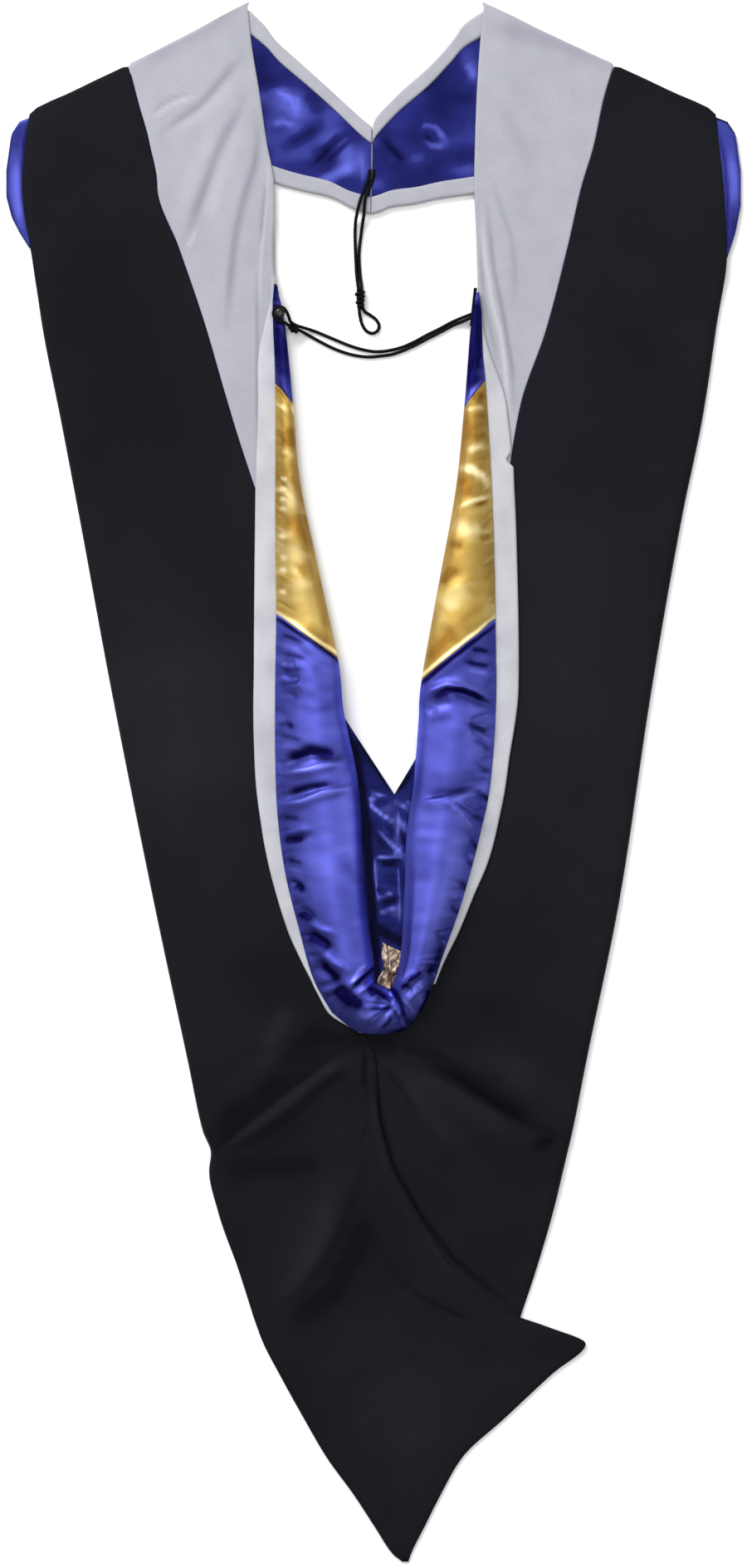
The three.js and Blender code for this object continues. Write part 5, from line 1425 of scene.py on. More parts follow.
# The lining's gold chevron satin painted a dull tan: painted shade where it lies deep in the V.
SHADED_GOLD_SATIN = Finish(
    name="tan_satin", slot="tan_satin", low=(0.26, 0.17, 0.09), high=(0.42, 0.3, 0.19),
    dark=(0.03, 0.02, 0.012), bright=(0.6, 0.48, 0.33), roughness=0.4, metallic=0.6, specular=0.6,
    patches_per_metre=60.0,
)
BLACK_CORD = Finish(
    name="black_cord", slot="black_cord", low=(0.0006, 0.0006, 0.0008), high=(0.0018, 0.0018, 0.0022),
    dark=(0.0005, 0.0005, 0.0006), bright=(0.01, 0.01, 0.011), roughness=0.6, specular=0.1,
    threads_per_metre=2600.0, slant=0.7, depth=0.0001, patches_per_metre=300.0,
)
BLACK_BUTTON = Finish(
    name="black_button", slot="black_button", low=(0.0015, 0.0015, 0.002), high=(0.003, 0.003, 0.0035),
    dark=(0.001, 0.001, 0.001), bright=(0.01, 0.01, 0.011), roughness=0.3, specular=0.3, coat=0.12,
    threads_per_metre=3000.0, depth=0.000005, patches_per_metre=200.0,
)


def mesh_object(
    name: str, points: np.ndarray, faces: np.ndarray, uv: np.ndarray, caps: np.ndarray | None = None
) -> bpy.types.Object:
    """Makes a smooth mesh object at the origin, facing outwards.

    Args:
        name: Name of the object.
        points: Corners in metres.
        faces: Four corner numbers for each face.
        uv: Two texture coordinates for each corner.
        caps: Three corner numbers for each triangle of its ends, which face outwards as they are.

    Returns:
        The object, in the scene.
    """
    a, b, c, d = (points[faces[:, corner]] for corner in range(4))
    volume = (a * (np.cross(b, c) + np.cross(c, d))).sum()
    if volume < 0:
        faces = faces[:, ::-1]
    triangles = [] if caps is None else caps.tolist()
    mesh = bpy.data.meshes.new(name)
    mesh.from_pydata(points.tolist(), [], faces.tolist() + triangles)
    mesh.polygons.foreach_set("use_smooth", np.ones(len(mesh.polygons), bool))
    corners = np.zeros(len(mesh.loops), np.int32)
    mesh.loops.foreach_get("vertex_index", corners)
    layer = mesh.uv_layers.new(name="cloth")
    layer.data.foreach_set("uv", uv[corners].astype(np.float32).ravel())
    mesh.update()
    piece = bpy.data.objects.new(name, mesh)
    bpy.context.scene.collection.objects.link(piece)
    return piece


def grid_faces(rows: int, columns: int, shift: int, around: bool = False) -> np.ndarray:
    """Corner numbers of the quads of a grid.

    Args:
        rows: Number of rows of corners.
        columns: Number of columns of corners.
        shift: Number of the grid's first corner.
        around: Whether the last column joins the first.

    Returns:
        Four corner numbers for each quad.
    """
    numbers = shift + np.arange(rows * columns).reshape(rows, columns)
    if around:
        numbers = np.concatenate([numbers, numbers[:, :1]], axis=1)
    corners = [numbers[:-1, :-1], numbers[1:, :-1], numbers[1:, 1:], numbers[:-1, 1:]]
    return np.stack(corners, axis=-1).reshape(-1, 4)


def set_shade_and_mottle(piece: bpy.types.Object, shade_and_mottle: np.ndarray) -> None:
    """Writes the painted shade and highlight, with random mottle, at each corner, for its material.

    Args:
        piece: Object of the cloth.
        shade_and_mottle: Painted shading and mottle of each corner, from -1 for dark to 1 for bright.
    """
    layer = piece.data.attributes.new("shade_and_mottle", "FLOAT", "POINT")
    layer.data.foreach_set("value", np.clip(shade_and_mottle, -1.0, 1.0).astype(np.float32))


def cloth_object(
    name: str, top: np.ndarray, thickness: float, out: np.ndarray | Color, projected: bool = False
) -> bpy.types.Object:
    """Makes a closed thin sheet from its outer side.

    Args:
        name: Name of the object.
        top: Points of its outer side, as rows by columns by three.
        thickness: Thickness in metres.
        out: Unit direction out of the cloth, one for all points or one for each.
        projected: Whether X and Y are its texture coordinates, and not distances along the cloth.

    Returns:
        The object.
    """
    rows, columns = top.shape[:2]
    count = rows * columns
    low = top - np.array(out) * thickness
    points = np.concatenate([top.reshape(-1, 3), low.reshape(-1, 3)])
    numbers = np.arange(count).reshape(rows, columns)
    border = np.concatenate([numbers[0, :-1], numbers[:-1, -1], numbers[-1, :0:-1], numbers[:0:-1, 0]])
    following = np.roll(border, -1)
    rim = np.stack([border, following, following + count, border + count], axis=1)
    faces = np.concatenate([grid_faces(rows, columns, 0), grid_faces(rows, columns, count)[:, ::-1], rim])
    if projected:
        return mesh_object(name, points, faces, points[:, :2].copy())
    uv = np.zeros((rows, columns, 2))
    uv[:, 1:, 0] = np.cumsum(np.linalg.norm(np.diff(top, axis=1), axis=2), axis=1)
    uv[1:, :, 1] = np.cumsum(np.linalg.norm(np.diff(top, axis=0), axis=2), axis=0)
    return mesh_object(name, points, faces, np.tile(uv.reshape(-1, 2), (2, 1)))


@dataclass
class Cloth:
    """One sheet of cloth: its shape, its finish and what it stands for.

    "out" is the direction out of the cloth, straight up or one for each point. A projected sheet has X
    and Y as its texture coordinates.
    """

    node: str
    top: np.ndarray
    thickness: float
    finish: Finish
    hold: Hold
    rests_on: str
    shade_and_mottle: np.ndarray | None = None
    out: np.ndarray | Color = (0.0, 0.0, 1.0)
    projected: bool = False
    piece: bpy.types.Object | None = None

    @property
    def name(self) -> str:
        """Name of the sheet's object."""
        return f"{self.node}_cloth"

    def build(self) -> None:
        """Makes the sheet's object, with its painted shading and mottle on both sides."""
        self.piece = cloth_object(self.name, self.top, self.thickness, self.out, self.projected)
        if self.shade_and_mottle is not None:
            set_shade_and_mottle(self.piece, np.tile(self.shade_and_mottle.ravel(), 2))

    def dress(self) -> None:
        self.piece.data.materials.append(self.finish.material())
        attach(self.piece, "root")
        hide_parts(self.node)


@dataclass
class SubAssembly:
    """Group of sheets that are made and dressed together."""

    layout: Layout
    sheets: list[Cloth] = field(default_factory=list)

    def shapes(self) -> list[Cloth]:
        """Works out the sheets of this group."""
        raise NotImplementedError

    def build(self) -> None:
        """Makes every sheet's object."""
        self.sheets = self.shapes()
        for sheet in self.sheets:
            sheet.build()

    def dress(self) -> None:
        """Dresses every sheet."""
        for sheet in self.sheets:
            sheet.dress()
        LOG.info("%s: %d sheets", type(self).__name__, len(self.sheets))


@dataclass
class BackShell(SubAssembly):
    """Black cloth of the back, with its tail."""

    top_gap: float = 0.0022
    columns: int = 98
    step: float = 0.0046
    fold_step: float = 0.0018
    folds_from: float = 0.64
    folds_to: float = 0.87
    edge_radius: float = 0.006
    seam_radius: float = 0.0012
    lap_from: float = 0.665
    lap_reach: float = 0.034
    lap_ease: float = 0.014

    def rows(self, top: float, end: float) -> np.ndarray:
        """Places of the rows, closer together where the folds lie.

        Args:
            top: Share down the hood of the first row.
            end: Share down the hood of the last row.

        Returns:
            Places as shares down the hood.
        """
        places = np.linspace(top, end, 4001)
        inside = ease((places - self.folds_from) / 0.02) * ease((self.folds_to - places) / 0.02)
        density = 1 / self.step + (1 / self.fold_step - 1 / self.step) * inside
        passed = np.concatenate([[0.0], np.cumsum(density[1:] * np.diff(places) * self.layout.length)])
        return np.interp(np.linspace(0.0, passed[-1], round(passed[-1]) + 1), passed, places)

    def level(self, down: np.ndarray) -> np.ndarray:
        """Underside of the cloth before folds: lower in the tail, where no lining lies in it."""
        tail = self.layout.shell + 2 * self.layout.gap
        return self.layout.outer_shell - (self.layout.outer_shell - tail) * ease((down - 0.74) / 0.1)

    def fold_floor(self, down: np.ndarray) -> np.ndarray:
        """Height that the outer fold comes down to: the front layer's satin beside the crescents.

        Args:
            down: Places down the hood.

        Returns:
            Height in metres.
        """
        crescent = self.layout.under_lining + self.layout.satin + self.layout.gap
        start = ease((down - self.layout.crescent_start) / 0.017)
        return crescent * start * ease((self.layout.crescent_end + 0.02 - down) / 0.02)

    def folds(self, x: np.ndarray, y: np.ndarray, down: np.ndarray) -> np.ndarray:
        """Height of the folds and of the cloth's slight waviness.

        Args:
            x: X of the places in metres.
            y: Y of the places in metres.
            down: The same places as shares down the hood.

        Returns:
            Height in metres, held above a small dip.
        """
        height = relief(SHELL_CREASES, x, y) * ease((down - 0.15) / 0.1)
        waves = 0.0007 * soft_noise(x, y, 0.07, 0.12, 3) + 0.0003 * soft_noise(x, y, 0.025, 0.04, 4)
        below_rolls = ease((down - 0.667) / 0.02)
        clear_of_rolls = np.maximum(below_rolls, ease((np.abs(x - 0.01) - 0.11) / 0.03))
        return np.maximum(height * clear_of_rolls + waves * clear_of_rolls, -0.002)

    def shapes(self) -> list[Cloth]:
        """Works out both halves of the back.

        Returns:
            Left and right sheet.
        """
        layout = self.layout
        inner_right = layout.shell_inner(Side.RIGHT)
        shares = dense_at_ends(self.columns)
        sheets = []
        for side in Side:
            left = side is Side.LEFT
            down = self.rows(layout.velvet_top + self.top_gap, 1.0 if left else layout.tail_start)
            fold = layout.fold(side)(down)
            inner = layout.shell_inner(side)(down)
            seam = np.where(down <= layout.velvet_end, layout.seam, 0.0)
            edges = (fold, inner - seam) if left else (inner + layout.seam, fold)
            grid = layout.grid(down, *edges, shares)
            x, y = grid[..., 0], grid[..., 1]
            place = np.broadcast_to(down[:, None], x.shape)
            from_fold = np.abs(x - fold[:, None])
            from_inner = np.abs(x - grid[:, -1 if left else 0, :1])
            height = self.level(place) + self.folds(x, y, place)
            if left:
                right_edge = inner_right(np.minimum(down, layout.tail_start))[:, None]
                lift = ease((x - right_edge + self.lap_reach) / self.lap_ease)
                lift = lift * ease((place - self.lap_from) / 0.012)
                lift = lift * ease((layout.tail_start + 0.03 - place) / 0.02)
                height = height + (layout.shell + 2 * layout.gap) * lift
                tail = ease((place - layout.side_point + 0.004) / 0.004)
                from_fold = np.minimum(from_fold, from_inner + (1 - tail))
            floor = self.fold_floor(place)
            height = floor + (height - floor) * rounded_edge(from_fold, self.edge_radius)
            height = height - 0.0004 * (1 - rounded_edge(from_inner, self.seam_radius))
            if left:
                height = height * ease((1.0 - place) / 0.012)
            grid[..., 2] = np.maximum(height, 0.0) + layout.shell
            # Painted shade and highlight along the folds, with random mottle.
            shade_and_mottle = painted_shading(SHELL_PAINTED_SHADING, x, y) + 0.15 * soft_noise(x, y, 0.09, 0.14, 5)
            name = f"outer_shell_{side.value}"
            below = f"outer_lining_{side.value}"
            sheets.append(Cloth(name, grid, layout.shell, BLACK_CLOTH, Hold.FOLDED, below, shade_and_mottle))
        return sheets


@dataclass
class BackLining(SubAssembly):
    """Satin under the black back."""

    columns: int = 24
    step: float = 0.008
    start: float = 0.085
    end: float = 0.6
    fold_inset: float = 0.009
    lap: float = 0.008
    set_back: float = 0.012

    def shapes(self) -> list[Cloth]:
        """Works out both halves.

        Returns:
            Left and right sheet.
        """
        layout = self.layout
        down = layout.rows(self.start, self.end, self.step)
        sheets = []
        for side in Side:
            fold = layout.fold(side)(down) - side.sign * self.fold_inset
            by_face = layout.face(side)(down) + side.sign * self.lap
            roll_edge = through(ROLL_ROWS[side], "edge_down", "edge_out")(down)
            roll = layout.across(roll_edge) + side.sign * self.set_back
            inner = by_face + (roll - by_face) * ease((down - 0.24) / 0.06)
            grid = layout.grid(down, fold, inner, np.linspace(0, 1, self.columns + 1))
            grid[..., 2] = layout.outer_lining + layout.satin
            name = f"outer_lining_{side.value}"
            below = f"under_lining_{side.value}"
            sheets.append(Cloth(name, grid, layout.satin, SHADED_LINING_SATIN, Hold.LAID, below))
        return sheets


@dataclass
class VelvetTrim(SubAssembly):
    """Wide velvet facing from the neck peaks down both sides of the opening.

    Its folds follow the same table as its painted shading.
    """

    columns: int = 64
    step: float = 0.0024
    fold_radius: float = 0.006
    face_radius: float = 0.003
    outer_radius: float = 0.0012

    def shapes(self) -> list[Cloth]:
        """Works out both trims.

        Returns:
            Left and right sheet.
        """
        layout = self.layout
        down = layout.rows(0.0, layout.velvet_end, self.step)
        sheets = []
        for side in Side:
            fold = layout.fold(side)(down)
            outer = np.where(down <= layout.velvet_top, fold, layout.shell_inner(side)(down))
            face = layout.face(side)(down)
            face = face - side.sign * np.maximum(0.0, 0.003 - np.abs(outer - face)) / 2
            grid = layout.grid(down, outer, face, dense_at_ends(self.columns))
            x, y = grid[..., 0], grid[..., 1]
            place = np.broadcast_to(down[:, None], x.shape)
            width = np.abs(outer - face)[:, None]
            from_outer = np.abs(x - outer[:, None])
            from_face = np.abs(x - face[:, None])
            drop = ease((place - 0.008) / 0.01) * ease((0.045 - place) / 0.012)
            height = layout.outer_shell * (1 - drop * (1 - rounded_edge(from_outer, self.fold_radius)))
            lip = ease((place - 0.14) / 0.015) * ease((0.176 - place) / 0.01)
            face_round = 1 - rounded_edge(from_face, self.face_radius)
            height = height - (layout.outer_shell - layout.shell) * lip * face_round
            body = ease(from_outer / 0.006) * ease(from_face / 0.004) * ease(width / 0.02)
            calm = np.where(place > 0.17, ease((from_face - 0.014) / 0.006), 1.0)
            waves = 0.4 * relief(TRIM_FOLDS_AND_PAINTED_SHADING, x, y) + 0.0003 * soft_noise(x, y, 0.03, 0.045, 11)
            height = height + waves * body * calm
            height = height - 0.0007 * face_round * (1 - lip)
            height = height - 0.0006 * (1 - rounded_edge(from_outer, self.outer_radius)) * (1 - drop)
            grid[..., 2] = np.maximum(height, 0.0) + layout.velvet
            # Painted shade and highlight of the folds, with random mottle.
            shade_and_mottle = painted_shading(TRIM_FOLDS_AND_PAINTED_SHADING, x, y, 0.9) + 0.08 * soft_noise(x, y, 0.012, 0.06, 12)
            name = f"velvet_trim_{side.value}"
            below = f"front_velvet_{side.value}"
            sheets.append(Cloth(name, grid, layout.velvet, PALE_VELVET, Hold.FOLDED, below, shade_and_mottle))
        return sheets


@dataclass
class EdgeStrip(SubAssembly):
    """Narrow velvet edge where the lining is turned out.

    Over its top reach, a share of the hood's length, it widens and gets paler.
    """

    columns: int = 18
    step: float = 0.0018
    crown: float = 0.0006
    edge_radius: float = 0.0018
    top_reach: float = 0.06
    left_span: tuple[float, float] = (0.176, 0.66)
    right_span: tuple[float, float] = (0.2, 0.629)

    def shapes(self) -> list[Cloth]:
        """Works out both strips.

        Returns:
            Left and right sheet.
        """
        layout = self.layout
        sheets = []
        for side, (start, end) in ((Side.LEFT, self.left_span), (Side.RIGHT, self.right_span)):
            down = layout.rows(start, end, self.step)
            from_start = down - start
            face = layout.face(side)(down)
            breadth = layout.strip_width * through(STRIP_BREADTHS, "down", side.value)(down)
            breadth = breadth * (0.2 + 0.8 * ease(from_start / self.top_reach))
            outer = face + side.sign * np.maximum(breadth, 0.003)
            grid = layout.grid(down, outer, face - side.sign * 0.0004, dense_at_ends(self.columns))
            x, y = grid[..., 0], grid[..., 1]
            from_outer = np.abs(x - outer[:, None])
            from_face = np.abs(x - face[:, None])
            arch = np.sin(np.pi * from_outer / np.maximum(from_outer + from_face, 1e-6))
            height = layout.strip + self.crown * arch**0.7
            pucker = 0.0003 * soft_noise(x * 0, y, 1.0, 0.006, 21) * np.exp(-from_face / 0.005)
            waves = 0.00035 * soft_noise(x, y, 0.012, 0.02, 22) * arch
            height = height + pucker + waves
            height = height - 0.001 * (1 - rounded_edge(from_outer, self.edge_radius))
            height = height - 0.001 * (1 - ease(from_start / 0.01))[:, None]
            grid[..., 2] = height + layout.velvet
            dark_top = -0.55 * (1 - ease(from_start / self.top_reach))[:, None]
            shade_and_mottle = dark_top + 0.3 * soft_noise(x, y, 0.01, 0.016, 23)
            name = f"edge_strip_{side.value}"
            below = f"velvet_trim_{side.value}"
            sheets.append(Cloth(name, grid, layout.velvet, STRIP_VELVET, Hold.LAID, below, shade_and_mottle))
        return sheets


@dataclass
class TurnedLining(SubAssembly):
    """Rolls of satin that are turned out over the edge, with the gold chevron, and their gathers."""

    rise: float = 0.020
    wrap: float = 0.009
    wrap_share: float = 0.75
    turn: float = 0.0035
    turn_share: float = 0.45
    over_seam: float = 0.002
    gather_depth: float = 0.0006
    gather_count: int = 5
    crest_columns: int = 55
    edge_columns: int = 21
    step: float = 0.0012
    chevron_from: int = 3
    chevron_to: int = 6

    def sections(self, rows: tuple[RollRow, ...], place: np.ndarray, ripple: np.ndarray) -> np.ndarray:
        """Control points of a roll's sections.

        Args:
            rows: Table of the roll.
            place: Row numbers of the sections.
            ripple: Rise to add to each section's crest, in metres.

        Returns:
            Sections by control points by three.
        """
        layout = self.layout
        row = RollRow(*along_rows(np.array(rows, float), place).T)
        seam = np.stack([layout.across(row.seam_out), layout.along(row.seam_down)], axis=1)
        edge = np.stack([layout.across(row.edge_out), layout.along(row.edge_down)], axis=1)
        run = edge - seam
        width = np.linalg.norm(run, axis=1)
        run /= width[:, None]
        lap = np.clip(row.lap, 0.0, 1.0)
        level = layout.roll_seam_on_shell + (layout.roll_seam - layout.roll_seam_on_shell) * lap
        start = level + layout.satin
        rise = self.rise * row.rise + ripple
        low = np.full_like(start, layout.outer_lining)
        fall = start + rise - low
        turn = np.minimum(self.turn, self.turn_share * width)
        wrap = np.minimum(self.wrap, self.wrap_share * width)
        section = (
            (-np.minimum(self.over_seam, 0.5 * width), start - 0.0006),
            (0.12 * width, start + 0.45 * rise),
            (0.32 * width, start + 0.85 * rise),
            (0.55 * width, start + rise),
            (0.78 * width, start + 0.88 * rise),
            (width - 1.1 * turn, low + 0.74 * fall),
            (width, low + 0.42 * fall),
            (width - 0.2 * turn, low + 0.12 * fall),
            (width - turn, low),
            (width - wrap, low),
        )
        points = [
            np.stack([seam[:, 0] + run[:, 0] * away, seam[:, 1] + run[:, 1] * away, height], axis=-1)
            for away, height in section
        ]
        return np.stack(points, axis=1)

    def surface(
        self, rows: tuple[RollRow, ...], start: float, end: float, seed: int, gathered: bool
    ) -> tuple[np.ndarray, np.ndarray]:
        """Outer side of part of a roll, with its creases.

        Args:
            rows: Table of the roll.
            start: Row number where the part starts.
            end: Row number where it ends.
            seed: Number that fixes its small waves.
            gathered: Whether it is the gathered part.

        Returns:
            Grid of points and the painted shading and mottle at each.
        """
        layout = self.layout
        seam = np.array([(layout.across(row.seam_out), row.seam_down * layout.length) for row in rows])
        reach = reach_along(seam)
        whole = np.diff(np.interp([start, end], np.arange(len(rows)), reach))[0]
        count = max(24, round(whole / self.step))
        share = np.linspace(0.0, 1.0, count + 1)
        ripple = np.zeros_like(share)
        if gathered:
            ripple = self.gather_depth * np.cos(2 * np.pi * self.gather_count * share) * np.sin(np.pi * share)
        controls = self.sections(rows, np.linspace(start, end, count + 1), ripple)
        crest = np.linspace(0.0, 5.0, self.crest_columns)
        edge = np.linspace(5.0, 9.0, self.edge_columns + 1)
        spots = np.concatenate([crest, edge[1:]])
        grid = along_rows(np.swapaxes(controls, 0, 1), spots)
        grid = np.ascontiguousarray(np.swapaxes(grid, 0, 1))
        x, y, z = grid[..., 0], grid[..., 1], grid[..., 2]
        body = ease(spots / 0.5) * ease((7.0 - spots) / 1.6)
        thick = ease((z - layout.roll_seam) / 0.006)
        from_seam = np.linalg.norm(grid[:, :, :2] - grid[:, :1, :2], axis=2)
        along_seam = np.broadcast_to(reach_along(grid[:, 0])[:, None], x.shape)
        height = relief(SATIN_CREASES, x, y)
        height = height + 0.0006 * soft_noise(x, y, 0.035, 0.022, seed)
        height = height + 0.0002 * soft_noise(x, y, 0.016, 0.006, seed + 1)
        pucker = self.puckers(along_seam, from_seam, seed)
        height = (height + pucker) * body * (0.2 + 0.8 * thick)
        streaks = 0.15 * soft_noise(x, y, 0.011, 0.005, seed + 3)
        streaks = streaks + 0.16 * soft_noise(x, y, 0.02, 0.02, seed + 4)
        # Painted shade and highlight of the creases, painted shade in the puckers' hollows and painted
        # highlight on their ridges, with random streaks.
        shade_and_mottle = painted_shading(SATIN_PAINTED_SHADING, x, y, 1.2) + 0.5 * pucker / 0.0014 + streaks
        return grid + grid_normals(grid) * height[..., None], shade_and_mottle

    def puckers(self, along: np.ndarray, away: np.ndarray, seed: int) -> np.ndarray:
        """Height of the small creases that the sewing draws into the satin at its seam.

        Args:
            along: Distance along the seam in metres.
            away: Distance from the seam in metres.
            seed: Number that fixes the creases.

        Returns:
            Height in metres: bells across slanted lines that fade away from the seam.
        """
        chance = np.random.default_rng(seed)
        height = np.zeros_like(along)
        place = 0.003
        while place < along.max():
            slant = chance.uniform(-0.5, 0.35)
            width = chance.uniform(0.0009, 0.0022)
            reach = chance.uniform(0.003, 0.013)
            rise = chance.uniform(0.0004, 0.0013) * chance.choice([-1.0, -1.0, 1.0])
            bell = np.exp(-(((along - place - slant * away) / width) ** 2))
            height += rise * bell * np.exp(-((away / reach) ** 2))
            place += chance.uniform(0.0035, 0.011)
        return height

    def shapes(self) -> list[Cloth]:
        """Works out both rolls and the gathers between them.

        Returns:
            Upper lining, chevron and lower lining of both sides, and the gathered lining.
        """
        satin = self.layout.satin
        gap = 0.006
        sheets = []
        for seed, side in ((40, Side.LEFT), (50, Side.RIGHT)):
            rows = ROLL_ROWS[side]
            below = f"edge_strip_{side.value}"
            parts = (
                ("upper_lining", 0.0, self.chevron_from - gap, BLUE_SATIN),
                ("chevron", self.chevron_from, self.chevron_to, GOLD_SATIN),
                ("lower_lining", self.chevron_to + gap, len(rows) - 1, BLUE_SATIN),
            )
            for part, start, end, finish in parts:
                name = f"{part}_{side.value}"
                grid, shade_and_mottle = self.surface(rows, start, end, seed, False)
                out = grid_normals(grid)
                sheets.append(Cloth(name, grid, satin, finish, Hold.FOLDED, below, shade_and_mottle, out))
        grid, shade_and_mottle = self.surface(GATHER_ROWS, 0.0, len(GATHER_ROWS) - 1, 70, True)
        out = grid_normals(grid)
        below = "outer_shell_left"
        sheets.append(Cloth("gathered_lining", grid, satin, BLUE_SATIN, Hold.GATHERED, below, shade_and_mottle, out))
        return sheets


@dataclass
class Neckband(SubAssembly):
    """Neckband: velvet hemmed over both edges of blue satin, with a seam in the middle.

    The upper hem widens towards the band's ends by its growth.
    """

    upper_hem: float = 0.0116
    hem_growth: float = 0.006
    lower_hem: float = 0.012
    underlap: float = 0.003
    rows: int = 84
    bend_steps: int = 8
    satin_columns: int = 54

    def frame_rows(self, side: Side) -> tuple[np.ndarray, np.ndarray, np.ndarray]:
        """Upper edge, direction to the lower edge and width along the band.

        Args:
            side: Side of the hood.

        Returns:
            Upper points, unit directions and widths.
        """
        layout = self.layout
        rows = BAND_ROWS[side]
        row = BandRow(*along_rows(np.array(rows, float), np.linspace(0, len(rows) - 1, self.rows + 1)).T)
        shift = side.sign * layout.seam / 2 * ease(np.linspace(-5.0, 1.0, self.rows + 1))
        upper = np.stack([layout.across(row.upper_out) + shift, layout.along(row.upper_down)], axis=1)
        lower = np.stack([layout.across(row.lower_out) + shift, layout.along(row.lower_down)], axis=1)
        run = lower - upper
        width = np.linalg.norm(run, axis=1)
        return upper, run / width[:, None], width

    def shapes(self) -> list[Cloth]:
        """Works out the velvet and the satin of both halves.

        Returns:
            Four sheets.
        """
        layout = self.layout
        lining = layout.hem + layout.gap
        full = lining + layout.satin + layout.gap + layout.hem
        bend = full / 2
        angles = np.linspace(-math.pi / 2, math.pi / 2, self.bend_steps + 1)
        sheets = []
        for number, side in enumerate(Side):
            upper, run, width = self.frame_rows(side)
            ones = np.ones_like(width)
            hem = self.upper_hem + self.hem_growth * np.linspace(1.0, 0.0, self.rows + 1)
            rounds = [(bend * math.cos(angle), bend + bend * math.sin(angle)) for angle in angles]
            path = [(hem + (bend - hem) * share, full) for share in np.linspace(0.0, 1.0, 8)[:-1]]
            path += [(bend - away, level) for away, level in rounds[::-1]]
            path += [(bend + (width - 2 * bend) * share, 0.0) for share in np.linspace(0.0, 1.0, 12)[1:-1]]
            path += [(width - bend + away, level) for away, level in rounds]
            hem_run = self.lower_hem - bend
            path += [(width - bend - hem_run * share, full) for share in np.linspace(0.0, 1.0, 10)[1:]]
            distance = np.stack([away * ones for away, _ in path], axis=1)
            height = np.stack([level * ones for _, level in path], axis=1)
            x = upper[:, :1] + run[:, :1] * distance
            y = upper[:, 1:] + run[:, 1:] * distance
            raised = ease((height - bend) / bend)
            height = height + raised * (0.0004 * soft_noise(x, y, 0.012, 0.012, 31 + number))
            from_lower = np.abs(distance - width[:, None] + self.lower_hem)
            edge_in = np.minimum(np.abs(distance - hem[:, None]), from_lower)
            height = height - raised * 0.0005 * (1 - rounded_edge(edge_in, 0.0012))
            grid = np.stack([x, y, height], axis=-1)
            velvet = f"neckband_velvet_{side.value}"
            out = grid_normals(grid, 3)
            hemmed = Cloth(velvet, grid, layout.hem, PALE_VELVET, Hold.FOLDED, "floor_rest", None, out, True)
            sheets.append(hemmed)
            start = hem - self.underlap
            span = width - self.lower_hem + self.underlap - start
            share = np.linspace(0.0, 1.0, self.satin_columns + 1)
            distance = start[:, None] + span[:, None] * share[None, :]
            x = upper[:, :1] + run[:, :1] * distance
            y = upper[:, 1:] + run[:, 1:] * distance
            inside = ease(share / 0.14) * ease((1 - share) / 0.14)
            waves = relief(BAND_CREASES, x, y) + 0.0005 * soft_noise(x, y, 0.016, 0.011, 35 + number)
            waves = np.maximum(waves * inside[None, :], -lining + layout.hem + 0.0001)
            grid = np.stack([x, y, lining + layout.satin + waves], axis=-1)
            name = f"neckband_lining_{side.value}"
            # Painted shade and highlight of the creases, with random mottle.
            shade_and_mottle = painted_shading(BAND_PAINTED_SHADING, x, y) + 0.3 * soft_noise(x, y, 0.016, 0.01, 37 + number)
            sheets.append(Cloth(name, grid, layout.satin, BAND_SATIN, Hold.LAID, velvet, shade_and_mottle))
        return sheets


@dataclass
class FrontLayer(SubAssembly):
    """Front layer under the shoulders: velvet and black cloth outside, blue satin inside."""

    rows: int = 30
    columns: int = 70

    def shapes(self) -> list[Cloth]:
        """Works out the plies of both sides.

        Returns:
            Six sheets.
        """
        layout = self.layout
        outs = np.array([column.out for column in FRONT_COLUMNS])
        top = np.array([column.top for column in FRONT_COLUMNS])
        spread = 1 - dense_at_ends(self.columns, 0.4)
        shares = dense_at_ends(self.rows, 0.4)[None, :]
        plies = (
            ("front_shell", 1.0, 0.667, 0.0, layout.shell, BLACK_CLOTH),
            ("front_velvet", 0.666, 0.335, 0.0, layout.velvet, PALE_VELVET),
            ("front_lining", 1.0, 0.335, layout.under_lining, layout.satin, FRONT_SATIN),
        )
        sheets = []
        for side in Side:
            bottom = np.array([getattr(column, f"bottom_{side.value}") for column in FRONT_COLUMNS])
            for part, start, end, level, thickness, finish in plies:
                out = end + (start - end) * (1 - (1 - spread) ** 1.3)
                upper = np.interp(-out, -outs, top)[:, None]
                lower = np.interp(-out, -outs, bottom)[:, None]
                down = upper + (lower - upper) * shares
                x = np.broadcast_to((side.sign * layout.across(out))[:, None], down.shape)
                y = layout.along(down)
                height = np.full_like(down, level)
                shade_and_mottle = None
                if part == "front_lining":
                    waves = np.maximum(0.0005 * soft_noise(x, y, 0.006, 0.02, 51), 0)
                    height = height + waves * ease((np.abs(x) - 0.243) / 0.002)
                    # Painted shade and highlight of the folds.
                    shade_and_mottle = painted_shading(FRONT_PAINTED_SHADING, x, y)
                grid = np.stack([x, y, height + thickness], axis=-1)
                name = f"{part}_{side.value}"
                sheets.append(Cloth(name, grid, thickness, finish, Hold.LAID, "floor_rest", shade_and_mottle))
        return sheets


